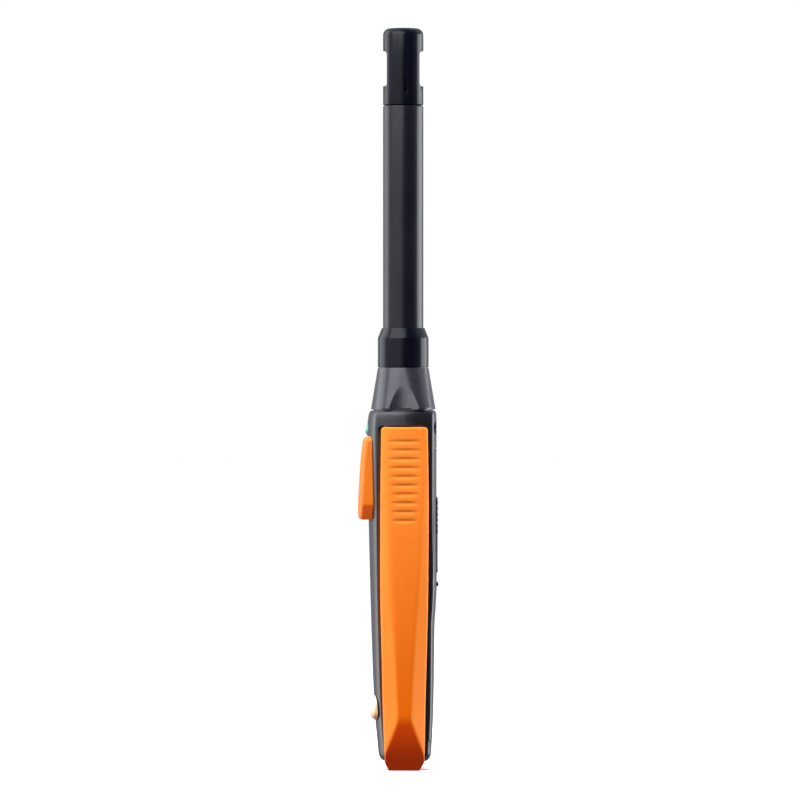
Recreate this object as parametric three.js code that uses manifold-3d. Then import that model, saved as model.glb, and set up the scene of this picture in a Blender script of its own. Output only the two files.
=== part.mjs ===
// A handheld stick thermo-hygrometer: a sensor tip on a long tube, a square-to-round neck, and a
// two-shell battery handle wrapped by an orange grip band. Millimetres, +Z up along the tube.
// The origin is the middle of the flat foot, on the tube's axis. The face with the button looks
// along -X, the battery cover along +X, and the ribbed grips along -Y and +Y.
import * as THREE from "three";
import { mergeVertices } from "three/addons/utils/BufferGeometryUtils.js";
import Module from "manifold-3d";

// ---- Driving dimensions ------------------------------------------------------------------------

const OVERALL_LENGTH = 243;
const GAP = 0.15; // clearance between fixed neighbours
const PLAY = 0.25; // clearance around what moves

const TUBE = { radius: 6.62, wall: 0.95, bottom: 119, top: 217.6 };
const CAP = { bottom: 217.8, wall: 1.15, spigotBottom: 212, endRound: 2.2 };
const WINDOW = { halfWidth: 3.8, bottom: 224, top: 235.6, corner: 1 };
const COLLAR = { radius: 8.33, bottom: 131.9, shoulder: 141.5, top: 144.8, boreTop: 139.6 };
const NECK = { bottom: 118.1, top: 131.7, spigotRadius: 7.6, spigotTop: 139, plugRadius: 7.2 };
const SHELL = { bottom: 3.1, top: 117.8, wall: 1.5, sideWall: 1.3, edgeRound: 0.8 };
const DOME = { front: 3.5, back: 2.4 }; // how far each shell bulges past its flat flanks
const CAVITY = { bottom: 4.9, top: 116.4 }; // the room inside both shells
const BAND = { top: 112.3, thickness: 2, footThickness: 2.95, middle: 0.4, proud: 0.5, shadowGap: 0.7 };
const FACET_TOP = 16.4; // the grip's lower facet starts here
const RIBS = { count: 10, top: 107.6, pitch: 2.87, width: 1, depth: 0.5, topHalf: 5.2, bottomHalf: 4.2 };

const BUTTON = { bottom: 82.1, top: 109.1, halfWidth: 9.2, toeHalfWidth: 7.5, toeTop: 87, wall: 1.6 };
const FLANGE = { front: -8.3, back: -7.4, reach: 0.9 }; // the lip that keeps the button in
const LED = { z: 111.5, halfHeight: 1.6, halfWidth: 2.6, front: -12.4, back: -6.2 };
const BADGE = { bottom: 16.4, peak: 18.8, top: 24.6, halfWidth: 6, height: 1.2 };

const COVER = { bottom: 8.7, top: 105.3, kneeZ: 62, topHalfWidth: 10.7, bottomHalfWidth: 6.8, inside: 6.65 };
const GRIP_PAD = { bottom: 64.6, top: 89.6, halfWidth: 6.5, inside: 10.2, face: 11.35 };
const RIDGES = { bottom: 78, pitch: 2.6, width: 1, halfWidth: 5, face: 11.5 };
const BUMP = { bottom: 60.4, top: 61.4, halfWidth: 4.5, face: 11.6 };
const HOOK = { near: 3.6, width: 2.2, front: 5.4, back: 8.4, bottom: 8.8, top: 10.4 };
const HOOK_TIP = { back: 6.2, bottom: 6.7 };
const CELL = { radius: 5.15, length: 44.5, nubRadius: 1.9, nub: 1.2 };
const UPPER_BAY = { bottom: 58.4, top: 107.6, cellX: 3.0, cellY: 5.25 };
const LOWER_BAY = { bottom: 8.7, top: 57.3, cellX: 1.0 };
const TRAY = { front: -3, back: 4.5, halfWidth: 10.85, bayHalfWidth: 10.5, bayFront: -2.35 };
const LOWER_TRAY = { front: -4.9, back: 4.2, halfWidth: 6.1, bayHalfWidth: 5.35, bayFront: -4.3 };
const CONTACT = 0.4; // sheet thickness of the battery contacts

const BOARD = { front: -4.6, back: -3.6, bottom: 60.8, top: 108.4, halfWidth: 9.8, tongue: 114.3 };
const SWITCH = { z: 88, half: 3, front: -8.2 };
const PLUNGER = { front: -9, back: -7, radius: 1.7, boreBack: -6, play: 0.1 };
const SCREW = { shank: 1.0, head: 1.9, headHeight: 1.4, slot: 0.5, slotReach: 1.1, slotDepth: 0.7 };
const BOARD_SCREW = { shank: 0.8, head: 1.5, headHeight: 0.85, tip: -7.6 };
const RADIO = { bottom: 62, top: 77, halfWidth: 6, depth: 1.9 };
const SENSOR_BOARD = { half: 0.4, halfWidth: 2.9, bottom: 206, top: 237 };
const SENSOR = { z: 230, half: 1.5, depth: 1.1, eye: 0.7 };
const BEYOND = 30; // well outside the handle, for cutters

// ---- Smooth curves of the handle, each a value at a height ---------------------------------------

// A smooth curve through [z, value] pairs, read at any height between them.
function curve(...pairs) {
  const heights = pairs.map(([z]) => z);
  const values = pairs.map(([, value]) => value);
  const track = new THREE.CubicInterpolant(heights, values, 1, new Float32Array(1));
  return (z) => track.evaluate(z)[0];
}

const frontFace = curve([3.1, 7.9], [20, 9.4], [45, 10.4], [80, 11.3], [108, 11.85], [118, 11.25]);
const backFace = curve([3.1, 9.1], [20, 9.9], [48, 10.3], [55, 10.75], [62, 11], [90, 10.9], [118, 10.95]);
const gripHalfWidth = curve([0, 12.7], [16.4, 13.4], [45, 14.6], [80, 15], [118, 14.6]);
const bevelDrop = curve([0, 4.6], [16.4, 4.1], [40, 3.05], [60, 1.9], [80, 1.45], [100, 1], [118, 0.85]);
const stripHalfWidth = curve([0, 1.9], [16.4, 2.1], [36, 2.9], [49, 3.6], [62, 4.6], [80, 5.6], [118, 6.6]);
const facetHalfWidth = curve([0, 6.4], [4.3, 8.35], [7, 9.6], [10, 10.85], [13, 12.05], [16.4, 13.4]);
const bandEdgeReach = curve([0, 6.7], [16.4, 7.0], [45, 7.7], [80, 7.9], [118, 7.9]);

function shellHalfWidth(z) {
  const beside = gripHalfWidth(z) - bevelDrop(z) - BAND.proud;
  return z < FACET_TOP ? Math.min(beside, facetHalfWidth(z) - BAND.proud) : beside;
}

// ---- Solids: manifold-3d joins and cuts what three.js shapes -------------------------------------

const wasm = await Module();
wasm.setup();

function solid(geometry) {
  const bare = geometry.index ? geometry.toNonIndexed() : geometry.clone();
  bare.deleteAttribute("normal");
  bare.deleteAttribute("uv");
  const merged = mergeVertices(bare, 1e-4);
  const vertProperties = new Float32Array(merged.attributes.position.array);
  const triVerts = new Uint32Array(merged.index.array);
  return new wasm.Manifold(new wasm.Mesh({ numProp: 3, vertProperties, triVerts }));
}

function geometryOf(made) {
  const { numProp, vertProperties, triVerts } = made.getMesh();
  const positions = new Float32Array((vertProperties.length / numProp) * 3);
  for (let i = 0; i * numProp < vertProperties.length; i++) {
    positions.set(vertProperties.subarray(i * numProp, i * numProp + 3), i * 3);
  }
  const geometry = new THREE.BufferGeometry();
  geometry.setAttribute("position", new THREE.BufferAttribute(positions, 3));
  geometry.setIndex(new THREE.BufferAttribute(new Uint32Array(triVerts), 1));
  geometry.computeVertexNormals();
  return geometry;
}

function box(x0, x1, y0, y1, z0, z1) {
  const geometry = new THREE.BoxGeometry(x1 - x0, y1 - y0, z1 - z0);
  geometry.translate((x0 + x1) / 2, (y0 + y1) / 2, (z0 + z1) / 2);
  return solid(geometry);
}

// A round rod along +Z from z0 to z1, centred on (x, y).
function rodZ(radius, z0, z1, x = 0, y = 0, segments = 32) {
  const geometry = new THREE.CylinderGeometry(radius, radius, z1 - z0, segments);
  geometry.rotateX(Math.PI / 2);
  geometry.translate(x, y, (z0 + z1) / 2);
  return solid(geometry);
}

// A round rod along +X from x0 to x1, centred on (y, z).
function rodX(radius, x0, x1, y, z, segments = 20) {
  const geometry = new THREE.CylinderGeometry(radius, radius, x1 - x0, segments);
  geometry.rotateZ(Math.PI / 2);
  geometry.translate((x0 + x1) / 2, y, z);
  return solid(geometry);
}

// A solid of revolution about the Z axis from [radius, z] points, listed from the bottom up.
function turned(profile, segments = 48) {
  const geometry = new THREE.LatheGeometry(profile.map(([r, z]) => new THREE.Vector2(r, z)), segments);
  geometry.rotateX(Math.PI / 2);
  return solid(geometry);
}

// A shape drawn with its own x along world Y and its own y along world Z, extruded from x0 to x1.
function plateX(shape, x0, x1, curveSegments = 6) {
  const geometry = new THREE.ExtrudeGeometry(shape, { depth: x1 - x0, bevelEnabled: false, curveSegments });
  geometry.rotateX(Math.PI / 2);
  geometry.rotateZ(Math.PI / 2);
  geometry.translate(x0, 0, 0);
  return solid(geometry);
}

// A shape drawn with its own x along world X and its own y along world Z, extruded to both sides of Y = 0.
function plateY(shape, halfDepth, curveSegments = 6) {
  const depth = 2 * halfDepth;
  const geometry = new THREE.ExtrudeGeometry(shape, { depth, bevelEnabled: false, curveSegments });
  geometry.rotateX(Math.PI / 2);
  geometry.translate(0, halfDepth, 0);
  return solid(geometry);
}

function polygon(points) {
  return new THREE.Shape(points.map(([x, y]) => new THREE.Vector2(x, y)));
}

function roundedRectangle(x0, x1, y0, y1, r) {
  const shape = new THREE.Shape();
  shape.moveTo(x0 + r, y0);
  shape.lineTo(x1 - r, y0);
  shape.absarc(x1 - r, y0 + r, r, -Math.PI / 2, 0);
  shape.lineTo(x1, y1 - r);
  shape.absarc(x1 - r, y1 - r, r, 0, Math.PI / 2);
  shape.lineTo(x0 + r, y1);
  shape.absarc(x0 + r, y1 - r, r, Math.PI / 2, Math.PI);
  shape.lineTo(x0, y0 + r);
  shape.absarc(x0 + r, y0 + r, r, Math.PI, 1.5 * Math.PI);
  return shape;
}

// Skins a stack of loops, listed from the bottom up, each with as many [x, y] points, anticlockwise.
function loft(levels) {
  const count = levels[0].loop.length;
  const positions = [];
  const index = [];
  for (const { z, loop } of levels) loop.forEach(([x, y]) => positions.push(x, y, z));
  for (let i = 0; i + 1 < levels.length; i++) {
    for (let j = 0; j < count; j++) {
      const a = i * count + j;
      const b = i * count + ((j + 1) % count);
      index.push(a, b, b + count, a, b + count, a + count);
    }
  }
  const lastRing = (levels.length - 1) * count;
  for (let j = 1; j + 1 < count; j++) {
    index.push(0, j + 1, j);
    index.push(lastRing, lastRing + j, lastRing + j + 1);
  }
  const geometry = new THREE.BufferGeometry();
  geometry.setAttribute("position", new THREE.Float32BufferAttribute(positions, 3));
  geometry.setIndex(index);
  return solid(geometry);
}

// ---- Outlines of the handle ----------------------------------------------------------------------

// A domed front and back joined by flat sides, which the domes meet at their flanks: one level of
// a shell or the neck.
function handleLoop({ front, back, halfWidth, frontFlank, backFlank, frontPower, backPower }, steps = 6) {
  const loop = [];
  const arc = (reach, flank, power, toward, from) => {
    for (let i = 0; i <= 2 * steps; i++) {
      const angle = from + (Math.PI * i) / (2 * steps);
      const across = Math.abs(Math.cos(angle)) < 1e-9 ? 0 : Math.abs(Math.cos(angle)) ** (2 / power);
      const along = Math.sign(Math.sin(angle)) * Math.abs(Math.sin(angle)) ** (2 / power);
      loop.push([toward * (flank + (reach - flank) * across), halfWidth * along]);
    }
  };
  arc(back, backFlank, backPower, 1, -Math.PI / 2);
  arc(front, frontFlank, frontPower, -1, Math.PI / 2);
  return loop;
}

const POWERS = { frontPower: 1.8, backPower: 2.9 };

function shellLevel(z, inset, sideInset = inset) {
  return {
    z,
    loop: handleLoop({
      front: frontFace(z) - inset,
      back: backFace(z) - inset,
      halfWidth: shellHalfWidth(z) - sideInset,
      frontFlank: frontFace(z) - DOME.front - Math.min(inset, 0.5),
      backFlank: backFace(z) - DOME.back - Math.min(inset, 0.5),
      ...POWERS,
    }),
  };
}

// The outside of both shells together, with rounded ends.
function shellBlank() {
  const middle = [5.4, 10, 16.4, 30, 46, 55, 62, 78, 95, 108, 113];
  return loft([
    shellLevel(SHELL.bottom, 1.5),
    shellLevel(SHELL.bottom + 1, 0.7),
    ...middle.map((z) => shellLevel(z, 0)),
    shellLevel(SHELL.top - 1, 0.15),
    shellLevel(SHELL.top, SHELL.edgeRound),
  ]);
}

// The room that the shells' walls leave inside them.
function shellRoom() {
  const middle = [16.4, 38, 55, 62, 85, 108, 113];
  return loft([CAVITY.bottom, ...middle, CAVITY.top].map((z) => shellLevel(z, SHELL.wall, SHELL.sideWall)));
}

// One level of the grip band: a flat strip with a bevel on each side, which the lower facet widens.
function bandLevel(z, inset, widest = Infinity) {
  const reach = 12;
  const slope = bevelDrop(z) / (bandEdgeReach(z) - stripHalfWidth(z));
  const crest = gripHalfWidth(z) - inset;
  const facet = z < FACET_TOP ? facetHalfWidth(z) - inset : Infinity;
  const half = Math.min(crest, facet, widest);
  const strip = Math.min(stripHalfWidth(z) + (crest - half) / slope, reach - 0.5);
  const edge = Math.min(half, crest - slope * (reach - stripHalfWidth(z)));
  const corners = [[-reach, -edge], [-strip, -half], [strip, -half], [reach, -edge]];
  const near = corners.map(([x, y]) => [x + BAND.middle, y]);
  const far = near.map(([x, y]) => [x, -y]).reverse();
  return { z, loop: [...near, ...far] };
}

function bandSolid(inset, bottom, top, widest = () => Infinity) {
  const heights = [0, 2, 4.3, 7, 10, 13, FACET_TOP, 26, 36, 49, 62, 80, 100, 118];
  const inside = heights.filter((z) => z > bottom + 0.2 && z < top - 0.2);
  return loft([bottom, ...inside, top].map((z) => bandLevel(z, inset, widest(z))));
}

// What the band covers, seen from the side, grown by a margin for the groove in the shells.
function bandRegion(margin) {
  return plateY(
    polygon([
      [-4.6 - margin, -margin],
      [5.3 + margin, -margin],
      [7.1 + margin, 2.6],
      [7.1 + margin, 4.3],
      [7.5 + margin, 23],
      [8.05 + margin, 50],
      [8.35 + margin, 70],
      [8.35 + margin, BAND.top - 0.9 + margin],
      [7.45 + margin, BAND.top + margin],
      [-6.5 - margin, BAND.top + margin],
      [-7.35 - margin, BAND.top - 0.9 + margin],
      [-7.35 - margin, 55],
      [-6.8 - margin, 29],
      [-6.15 - margin, 4.3],
      [-6.15 - margin, 2.6],
    ]),
    20,
  );
}

// ---- Materials -----------------------------------------------------------------------------------

const plastic = (color, roughness = 0.5) => new THREE.MeshStandardMaterial({ color, roughness });
const metal = (color, roughness = 0.3) => new THREE.MeshStandardMaterial({ color, roughness, metalness: 1 });
const anthracite = plastic(0x4a4d53, 0.45);
const neckGrey = plastic(0x6b6b72, 0.4);
const black = plastic(0x15171c, 0.25);
const tubeGrey = plastic(0x33373f, 0.35);
const orange = plastic(0xf58524, 0.5);
const boardGreen = plastic(0x1f5a3a, 0.6);
const clearGreen = plastic(0xa9d8c6, 0.15);
const cream = plastic(0xefe2c6, 0.4);
const rubber = plastic(0x1b1b1d, 0.8);
const cellWrap = plastic(0x8d9298, 0.35);
const nickel = metal(0xc9c9c4);
const steel = metal(0x9a9da1, 0.35);

const instrument = new THREE.Group();
instrument.name = "stick_thermo_hygrometer";

function add(name, made, material) {
  const mesh = new THREE.Mesh(geometryOf(made), material);
  mesh.name = name;
  instrument.add(mesh);
}

// ---- Shared cutters ------------------------------------------------------------------------------

const shells = shellBlank();
const bandInner = (inset, bottom) =>
  bandSolid(inset, bottom, 118, (z) => shellHalfWidth(z) + GAP - (inset - BAND.thickness));
const bandGroove = bandRegion(BAND.shadowGap).subtract(bandInner(BAND.thickness + GAP, SHELL.bottom));
const wallInset = BAND.thickness + GAP + SHELL.sideWall;
const cavity = shellRoom().intersect(bandInner(wallInset, CAVITY.bottom));
const shellBody = shells.subtract(bandGroove);

// The upper pair sinks into wells in the rear shell, the lower pair sits on decks under the cover.
const upperScrew = { z: 112.1, seat: 7.4, tip: -4.5, post: { radius: 2.3, reach: 3.8 }, well: 2.5 };
const lowerScrew = { z: 50, seat: 4.6, tip: -4.5, post: { radius: 1.9, reach: 3.6 } };
const housingScrews = [
  { name: "housing_screw_1", y: -8.6, ...upperScrew },
  { name: "housing_screw_2", y: 8.6, ...upperScrew },
  { name: "housing_screw_3", y: -8.05, ...lowerScrew },
  { name: "housing_screw_4", y: 8.05, ...lowerScrew },
];
const boardScrews = [
  { name: "board_screw_1", y: -7.8, z: 78.5 },
  { name: "board_screw_2", y: 7.8, z: 78.5 },
];

// The button seen from the front, grown by a margin for its opening: its lower corners slope in.
function buttonShape(margin) {
  const { bottom, top, halfWidth, toeHalfWidth, toeTop } = BUTTON;
  const [wide, toe, round] = [halfWidth + margin, toeHalfWidth + margin, 1.6];
  const shape = new THREE.Shape();
  shape.moveTo(-toe, bottom - margin);
  shape.lineTo(toe, bottom - margin);
  shape.lineTo(wide, toeTop);
  shape.lineTo(wide, top + margin - round);
  shape.absarc(wide - round, top + margin - round, round, 0, Math.PI / 2);
  shape.lineTo(round - wide, top + margin);
  shape.absarc(round - wide, top + margin - round, round, Math.PI / 2, Math.PI);
  shape.lineTo(-wide, toeTop);
  return shape;
}

function flangeShape(margin) {
  const { bottom, top, halfWidth } = BUTTON;
  const reach = FLANGE.reach + margin;
  return roundedRectangle(-halfWidth - reach, halfWidth + reach, bottom - reach, top + margin + 0.6, 3.8);
}

// The battery cover seen from behind, grown by a margin for its opening.
function coverShape(margin) {
  const top = COVER.top + margin;
  const bottom = COVER.bottom - margin;
  const wide = COVER.topHalfWidth + margin;
  const narrow = COVER.bottomHalfWidth + margin;
  return polygon([
    [-narrow + 1.5, bottom],
    [narrow - 1.5, bottom],
    [narrow, bottom + 1.5],
    [wide, COVER.kneeZ],
    [wide, top - 2],
    [wide - 2, top],
    [-wide + 2, top],
    [-wide, top - 2],
    [-wide, COVER.kneeZ],
    [-narrow, bottom + 1.5],
  ]);
}

// ---- Handle --------------------------------------------------------------------------------------

function frontShell() {
  const split = -0.1;
  let made = shellBody.subtract(cavity).subtract(box(split, BEYOND, -BEYOND, BEYOND, -1, 130));
  for (const { y, z, tip, post } of housingScrews) {
    const pillar = rodX(post.radius, 1 - frontFace(z), post.reach, y, z).intersect(shells);
    made = made.add(pillar).subtract(rodX(SCREW.shank + 0.05, tip - 0.6, post.reach + 1, y, z, 16));
  }
  for (const { y, z } of boardScrews) {
    made = made.add(rodX(2.1, 2 - frontFace(z), BOARD.front - 0.1, y, z).intersect(shells));
    made = made.subtract(rodX(BOARD_SCREW.shank + 0.05, BOARD_SCREW.tip - 0.3, 0, y, z, 16));
  }
  return made
    .subtract(plateX(buttonShape(PLAY), -BEYOND, -5))
    .subtract(plateX(flangeShape(PLAY), FLANGE.front - PLAY, -5))
    .subtract(plateX(pill(LED.halfWidth + 0.1, LED.halfHeight + 0.1, LED.z), -BEYOND, -7))
    .subtract(neckHole());
}

// The two shells close round the neck's plug and hold its flange.
function neckHole() {
  return rodZ(NECK.plugRadius + GAP, 112, 119);
}

function rearShell() {
  const split = 0.1;
  const deckInside = LOWER_TRAY.halfWidth + 2 * GAP;
  let made = shellBody.subtract(cavity).subtract(box(-BEYOND, split, -BEYOND, BEYOND, -1, 130));
  for (const { y, z, seat, well, post } of housingScrews) {
    if (well) {
      made = made.add(rodX(well, post.reach + 0.2, backFace(z) - 0.5, y, z).intersect(shells));
      made = made.subtract(rodX(SCREW.head + GAP, seat, BEYOND, y, z, 24));
    } else {
      const [y0, y1] = y < 0 ? [-BEYOND, -deckInside] : [deckInside, BEYOND];
      const deck = box(post.reach + 0.2, seat, y0, y1, z - 6, z + 6);
      made = made.add(deck.intersect(bandInner(BAND.thickness + 2 * GAP, CAVITY.bottom)));
    }
    made = made.subtract(rodX(SCREW.shank + GAP, 0, 12, y, z, 16));
  }
  return made.subtract(plateX(coverShape(PLAY), COVER.inside - PLAY, BEYOND)).subtract(neckHole());
}

function gripBand() {
  let made = bandSolid(0, 0, 118).intersect(bandRegion(0));
  made = made.subtract(bandInner(BAND.thickness, BAND.footThickness));
  for (let i = 0; i < RIBS.count; i++) {
    const z = RIBS.top - i * RIBS.pitch;
    const half = THREE.MathUtils.lerp(RIBS.topHalf, RIBS.bottomHalf, i / (RIBS.count - 1));
    const inner = gripHalfWidth(z) - RIBS.depth;
    const [x0, x1] = [BAND.middle - half, BAND.middle + half];
    made = made.subtract(box(x0, x1, inner, BEYOND, z - RIBS.width / 2, z + RIBS.width / 2));
    made = made.subtract(box(x0, x1, -BEYOND, -inner, z - RIBS.width / 2, z + RIBS.width / 2));
  }
  return made;
}

// The cover, with a ridged thumb pad outside and two hooks that tuck under the rear shell's foot.
function batteryCover() {
  const { inside, face } = GRIP_PAD;
  const pad = roundedRectangle(-GRIP_PAD.halfWidth, GRIP_PAD.halfWidth, GRIP_PAD.bottom, GRIP_PAD.top, 2);
  let made = shells.subtract(shellRoom());
  made = made.intersect(plateX(coverShape(0), COVER.inside, BEYOND)).add(plateX(pad, inside, face));
  for (let z = RIDGES.bottom; z < GRIP_PAD.top; z += RIDGES.pitch) {
    made = made.add(box(inside, RIDGES.face, -RIDGES.halfWidth, RIDGES.halfWidth, z, z + RIDGES.width));
  }
  made = made.add(box(inside, BUMP.face, -BUMP.halfWidth, BUMP.halfWidth, BUMP.bottom, BUMP.top));
  for (const y of [-HOOK.near - HOOK.width, HOOK.near]) {
    made = made.add(box(HOOK.front, HOOK.back, y, y + HOOK.width, HOOK.bottom, HOOK.top));
    made = made.add(box(HOOK.front, HOOK_TIP.back, y, y + HOOK.width, HOOK_TIP.bottom, HOOK.bottom + 0.2));
  }
  return made;
}

add("front_shell", frontShell(), anthracite);
add("rear_shell", rearShell(), anthracite);
add("grip_band", gripBand(), orange);
add("battery_cover", batteryCover(), anthracite);

// ---- Button, light window and badge on the front ---------------------------------------------------

// A slot-ended shape centred on y = 0 at a height.
function pill(halfWidth, halfHeight, z) {
  return roundedRectangle(-halfWidth, halfWidth, z - halfHeight, z + halfHeight, halfHeight - 0.01);
}

const buttonHeight = curve([82.1, 2.5], [82.9, 3.3], [88, 3.25], [102, 2.15], [108.2, 1.25], [109.1, 0.4]);

function powerButton() {
  const heights = [82.1, 82.9, 88, 95, 102, 108.2, 109.1];
  const dome = loft(heights.map((z) => shellLevel(z, -buttonHeight(z))));
  const hollowFront = -10.2;
  return dome
    .intersect(plateX(buttonShape(0), -BEYOND, FLANGE.back))
    .add(plateX(flangeShape(0), FLANGE.front, FLANGE.back))
    .subtract(plateX(buttonShape(-BUTTON.wall), hollowFront, 0))
    .add(rodX(1.6, hollowFront - 0.8, PLUNGER.front - 0.05, 0, SWITCH.z));
}

// A badge that follows the shell, thickest low down and running out to nothing at its top.
function frontBadge() {
  const { bottom, peak, top, halfWidth, height } = BADGE;
  const lift = 0.05;
  const share = curve([bottom, 0.5], [bottom + 1, 0.9], [peak, 1], [(peak + top) / 2, 0.7], [top, 0.3]);
  const heights = [bottom, bottom + 1, peak, (peak + top) / 2, top];
  const raised = loft(heights.map((z) => shellLevel(z, -lift - height * share(z))));
  const under = loft([bottom - 1, ...heights, top + 1].map((z) => shellLevel(z, -lift)));
  const outline = roundedRectangle(-halfWidth, halfWidth, bottom, top, 3);
  return raised.intersect(plateX(outline, -20, -5)).subtract(under);
}

add("power_button", powerButton(), orange);
add("led_window", plateX(pill(LED.halfWidth, LED.halfHeight, LED.z), LED.front, LED.back), clearGreen);
add("front_badge", frontBadge(), cream);

// ---- Neck, collar and tube -------------------------------------------------------------------------

function neckCone() {
  const base = { front: 10.62, back: 10.62, halfWidth: 13.1, flank: 2.6, frontPower: 2.2, backPower: 2.6 };
  const levels = [0, 0.25, 0.5, 0.75, 1].map((t) => {
    const mix = (from, to) => THREE.MathUtils.lerp(from, to, t);
    const widthShare = 1 - (1 - t) ** 0.85; // the sides flare a little faster than the front and back
    return {
      z: mix(NECK.bottom, NECK.top),
      loop: handleLoop({
        front: mix(base.front, COLLAR.radius),
        back: mix(base.back, COLLAR.radius),
        halfWidth: THREE.MathUtils.lerp(base.halfWidth, COLLAR.radius, widthShare),
        frontFlank: mix(base.flank, 0),
        backFlank: mix(base.flank, 0),
        frontPower: mix(base.frontPower, 2),
        backPower: mix(base.backPower, 2),
      }),
    };
  });
  const leanSides = plateX(polygon([[-12.5, 118], [12.5, 118], [8.6, 132], [-8.6, 132]]), -15, 15);
  return loft(levels)
    .intersect(leanSides)
    .add(rodZ(NECK.plugRadius, 115, NECK.bottom + 0.5, 0, 0, 48))
    .add(rodZ(8.2, 114.7, 116.2, 0, 0, 48))
    .add(rodZ(NECK.spigotRadius, NECK.top - 0.5, NECK.spigotTop, 0, 0, 48))
    .subtract(rodZ(TUBE.radius + GAP, 118.6, 140, 0, 0, 48))
    .subtract(rodZ(5, 112, 120, 0, 0, 32));
}

function collarNut() {
  return turned([
    [NECK.spigotRadius + GAP, COLLAR.bottom],
    [COLLAR.radius, COLLAR.bottom],
    [COLLAR.radius, COLLAR.shoulder],
    [TUBE.radius + 0.35, COLLAR.top],
    [TUBE.radius + GAP, COLLAR.top],
    [TUBE.radius + GAP, COLLAR.boreTop + 1.4],
    [NECK.spigotRadius + GAP, COLLAR.boreTop + 1.4],
    [NECK.spigotRadius + GAP, COLLAR.bottom],
  ]);
}

function tubeSeal() {
  const inner = TUBE.radius + GAP / 2;
  const outer = NECK.spigotRadius;
  const [low, high] = [NECK.spigotTop + 0.1, COLLAR.boreTop + 1.3];
  const soft = 0.25;
  return turned([
    [inner, low + soft],
    [inner + soft, low],
    [outer - soft, low],
    [outer, low + soft],
    [outer, high - soft],
    [outer - soft, high],
    [inner + soft, high],
    [inner, high - soft],
    [inner, low + soft],
  ]);
}

function probeTube() {
  const bore = TUBE.radius - TUBE.wall;
  return turned([
    [bore, TUBE.bottom],
    [TUBE.radius, TUBE.bottom],
    [TUBE.radius, TUBE.top - 0.3],
    [TUBE.radius - 0.3, TUBE.top],
    [bore, TUBE.top],
    [bore, TUBE.bottom],
  ]);
}

function sensorCap() {
  const bore = TUBE.radius - CAP.wall;
  const spigot = TUBE.radius - TUBE.wall - GAP;
  const end = [];
  const steps = 6;
  for (let i = 0; i <= steps; i++) {
    const angle = (Math.PI / 2) * (i / steps);
    end.push([
      TUBE.radius - CAP.endRound * (1 - Math.cos(angle)),
      OVERALL_LENGTH - CAP.endRound * (1 - Math.sin(angle)),
    ]);
  }
  const made = turned([
    [spigot - 0.9, CAP.spigotBottom],
    [spigot, CAP.spigotBottom],
    [spigot, CAP.bottom],
    [TUBE.radius, CAP.bottom],
    ...end,
    [0, OVERALL_LENGTH],
    [0, OVERALL_LENGTH - 1.7],
    [bore - 1, OVERALL_LENGTH - 1.7],
    [bore, OVERALL_LENGTH - 2.7],
    [bore, CAP.bottom + 2],
    [spigot - 0.9, CAP.bottom + 1],
    [spigot - 0.9, CAP.spigotBottom],
  ], 36);
  const { halfWidth, bottom, top, corner } = WINDOW;
  return made
    .subtract(plateX(roundedRectangle(-halfWidth, halfWidth, bottom, top, corner), -10, 10))
    .subtract(rodX(0.6, 0, 10, 0, 221.9, 12))
    .subtract(ventY(0.55, 0.9, 222.7));
}

// A small round vent through the cap's -Y side.
function ventY(radius, x, z) {
  const geometry = new THREE.CylinderGeometry(radius, radius, 10, 12);
  geometry.translate(x, -5, z);
  return solid(geometry);
}

add("neck_cone", neckCone(), neckGrey);
add("collar_nut", collarNut(), black);
add("tube_seal", tubeSeal(), rubber);
add("probe_tube", probeTube(), tubeGrey);
add("sensor_cap", sensorCap(), black);

// ---- Sensor and its lead ---------------------------------------------------------------------------

function humiditySensor() {
  const { z, half, depth, eye } = SENSOR;
  const back = -SENSOR_BOARD.half - 0.05;
  const made = box(back - depth, back, -half, half, z - half, z + half);
  return made.subtract(rodX(eye, back - 2 * depth, back - eye, 0, z, 16));
}

// A round lead along a smooth path through the given points.
function lead(points, radius, steps) {
  const section = new THREE.Shape();
  section.absarc(0, 0, radius, 0, 2 * Math.PI);
  const extrudePath = new THREE.CatmullRomCurve3(points.map((p) => new THREE.Vector3(...p)));
  return solid(new THREE.ExtrudeGeometry(section, { steps, extrudePath, curveSegments: 3 }));
}

const leadRoute = [
  [1.3, 0, 215],
  [1.3, 0, 195],
  [0.6, 0, 160],
  [0.2, 0, 130],
  [-0.4, 0, 119],
  [-2.2, 0, 115.4],
  [-2.2, 0, 113.3],
];

add(
  "sensor_board",
  box(-SENSOR_BOARD.half, SENSOR_BOARD.half, -2.9, 2.9, SENSOR_BOARD.bottom, SENSOR_BOARD.top),
  boardGreen,
);
add("humidity_sensor", humiditySensor(), nickel);
add("sensor_lead", lead(leadRoute, 0.75, 26), rubber);
add("lead_connector", box(BOARD.back + 0.1, -0.9, -2.8, 2.8, 109.2, 113.2), cream);

// ---- Electronics in the handle ---------------------------------------------------------------------

function mainBoard() {
  const { halfWidth, bottom, top, tongue, front, back } = BOARD;
  const shape = polygon([
    [-halfWidth, bottom],
    [halfWidth, bottom],
    [halfWidth, top],
    [5.4, top],
    [5.4, tongue],
    [-5.4, tongue],
    [-5.4, top],
    [-halfWidth, top],
  ]);
  let made = plateX(shape, front, back);
  for (const { y, z } of boardScrews) made = made.subtract(rodX(1.05, -6, -2, y, z, 16));
  return made;
}

// A screw along X: the head's underside is at seat and the point at tip.
function screw({ y, z, seat, tip }, { shank, head, headHeight } = SCREW) {
  const crown = seat + headHeight;
  const [x0, x1, reach, half] = [crown - SCREW.slotDepth, crown + 1, SCREW.slotReach, SCREW.slot / 2];
  return rodX(shank, tip, seat + 0.3, y, z, 16)
    .add(rodX(head, seat + 0.05, crown, y, z, 24))
    .subtract(box(x0, x1, y - reach, y + reach, z - half, z + half))
    .subtract(box(x0, x1, y - half, y + half, z - reach, z + reach));
}

const chipFront = BOARD.front - 0.05;

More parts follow.
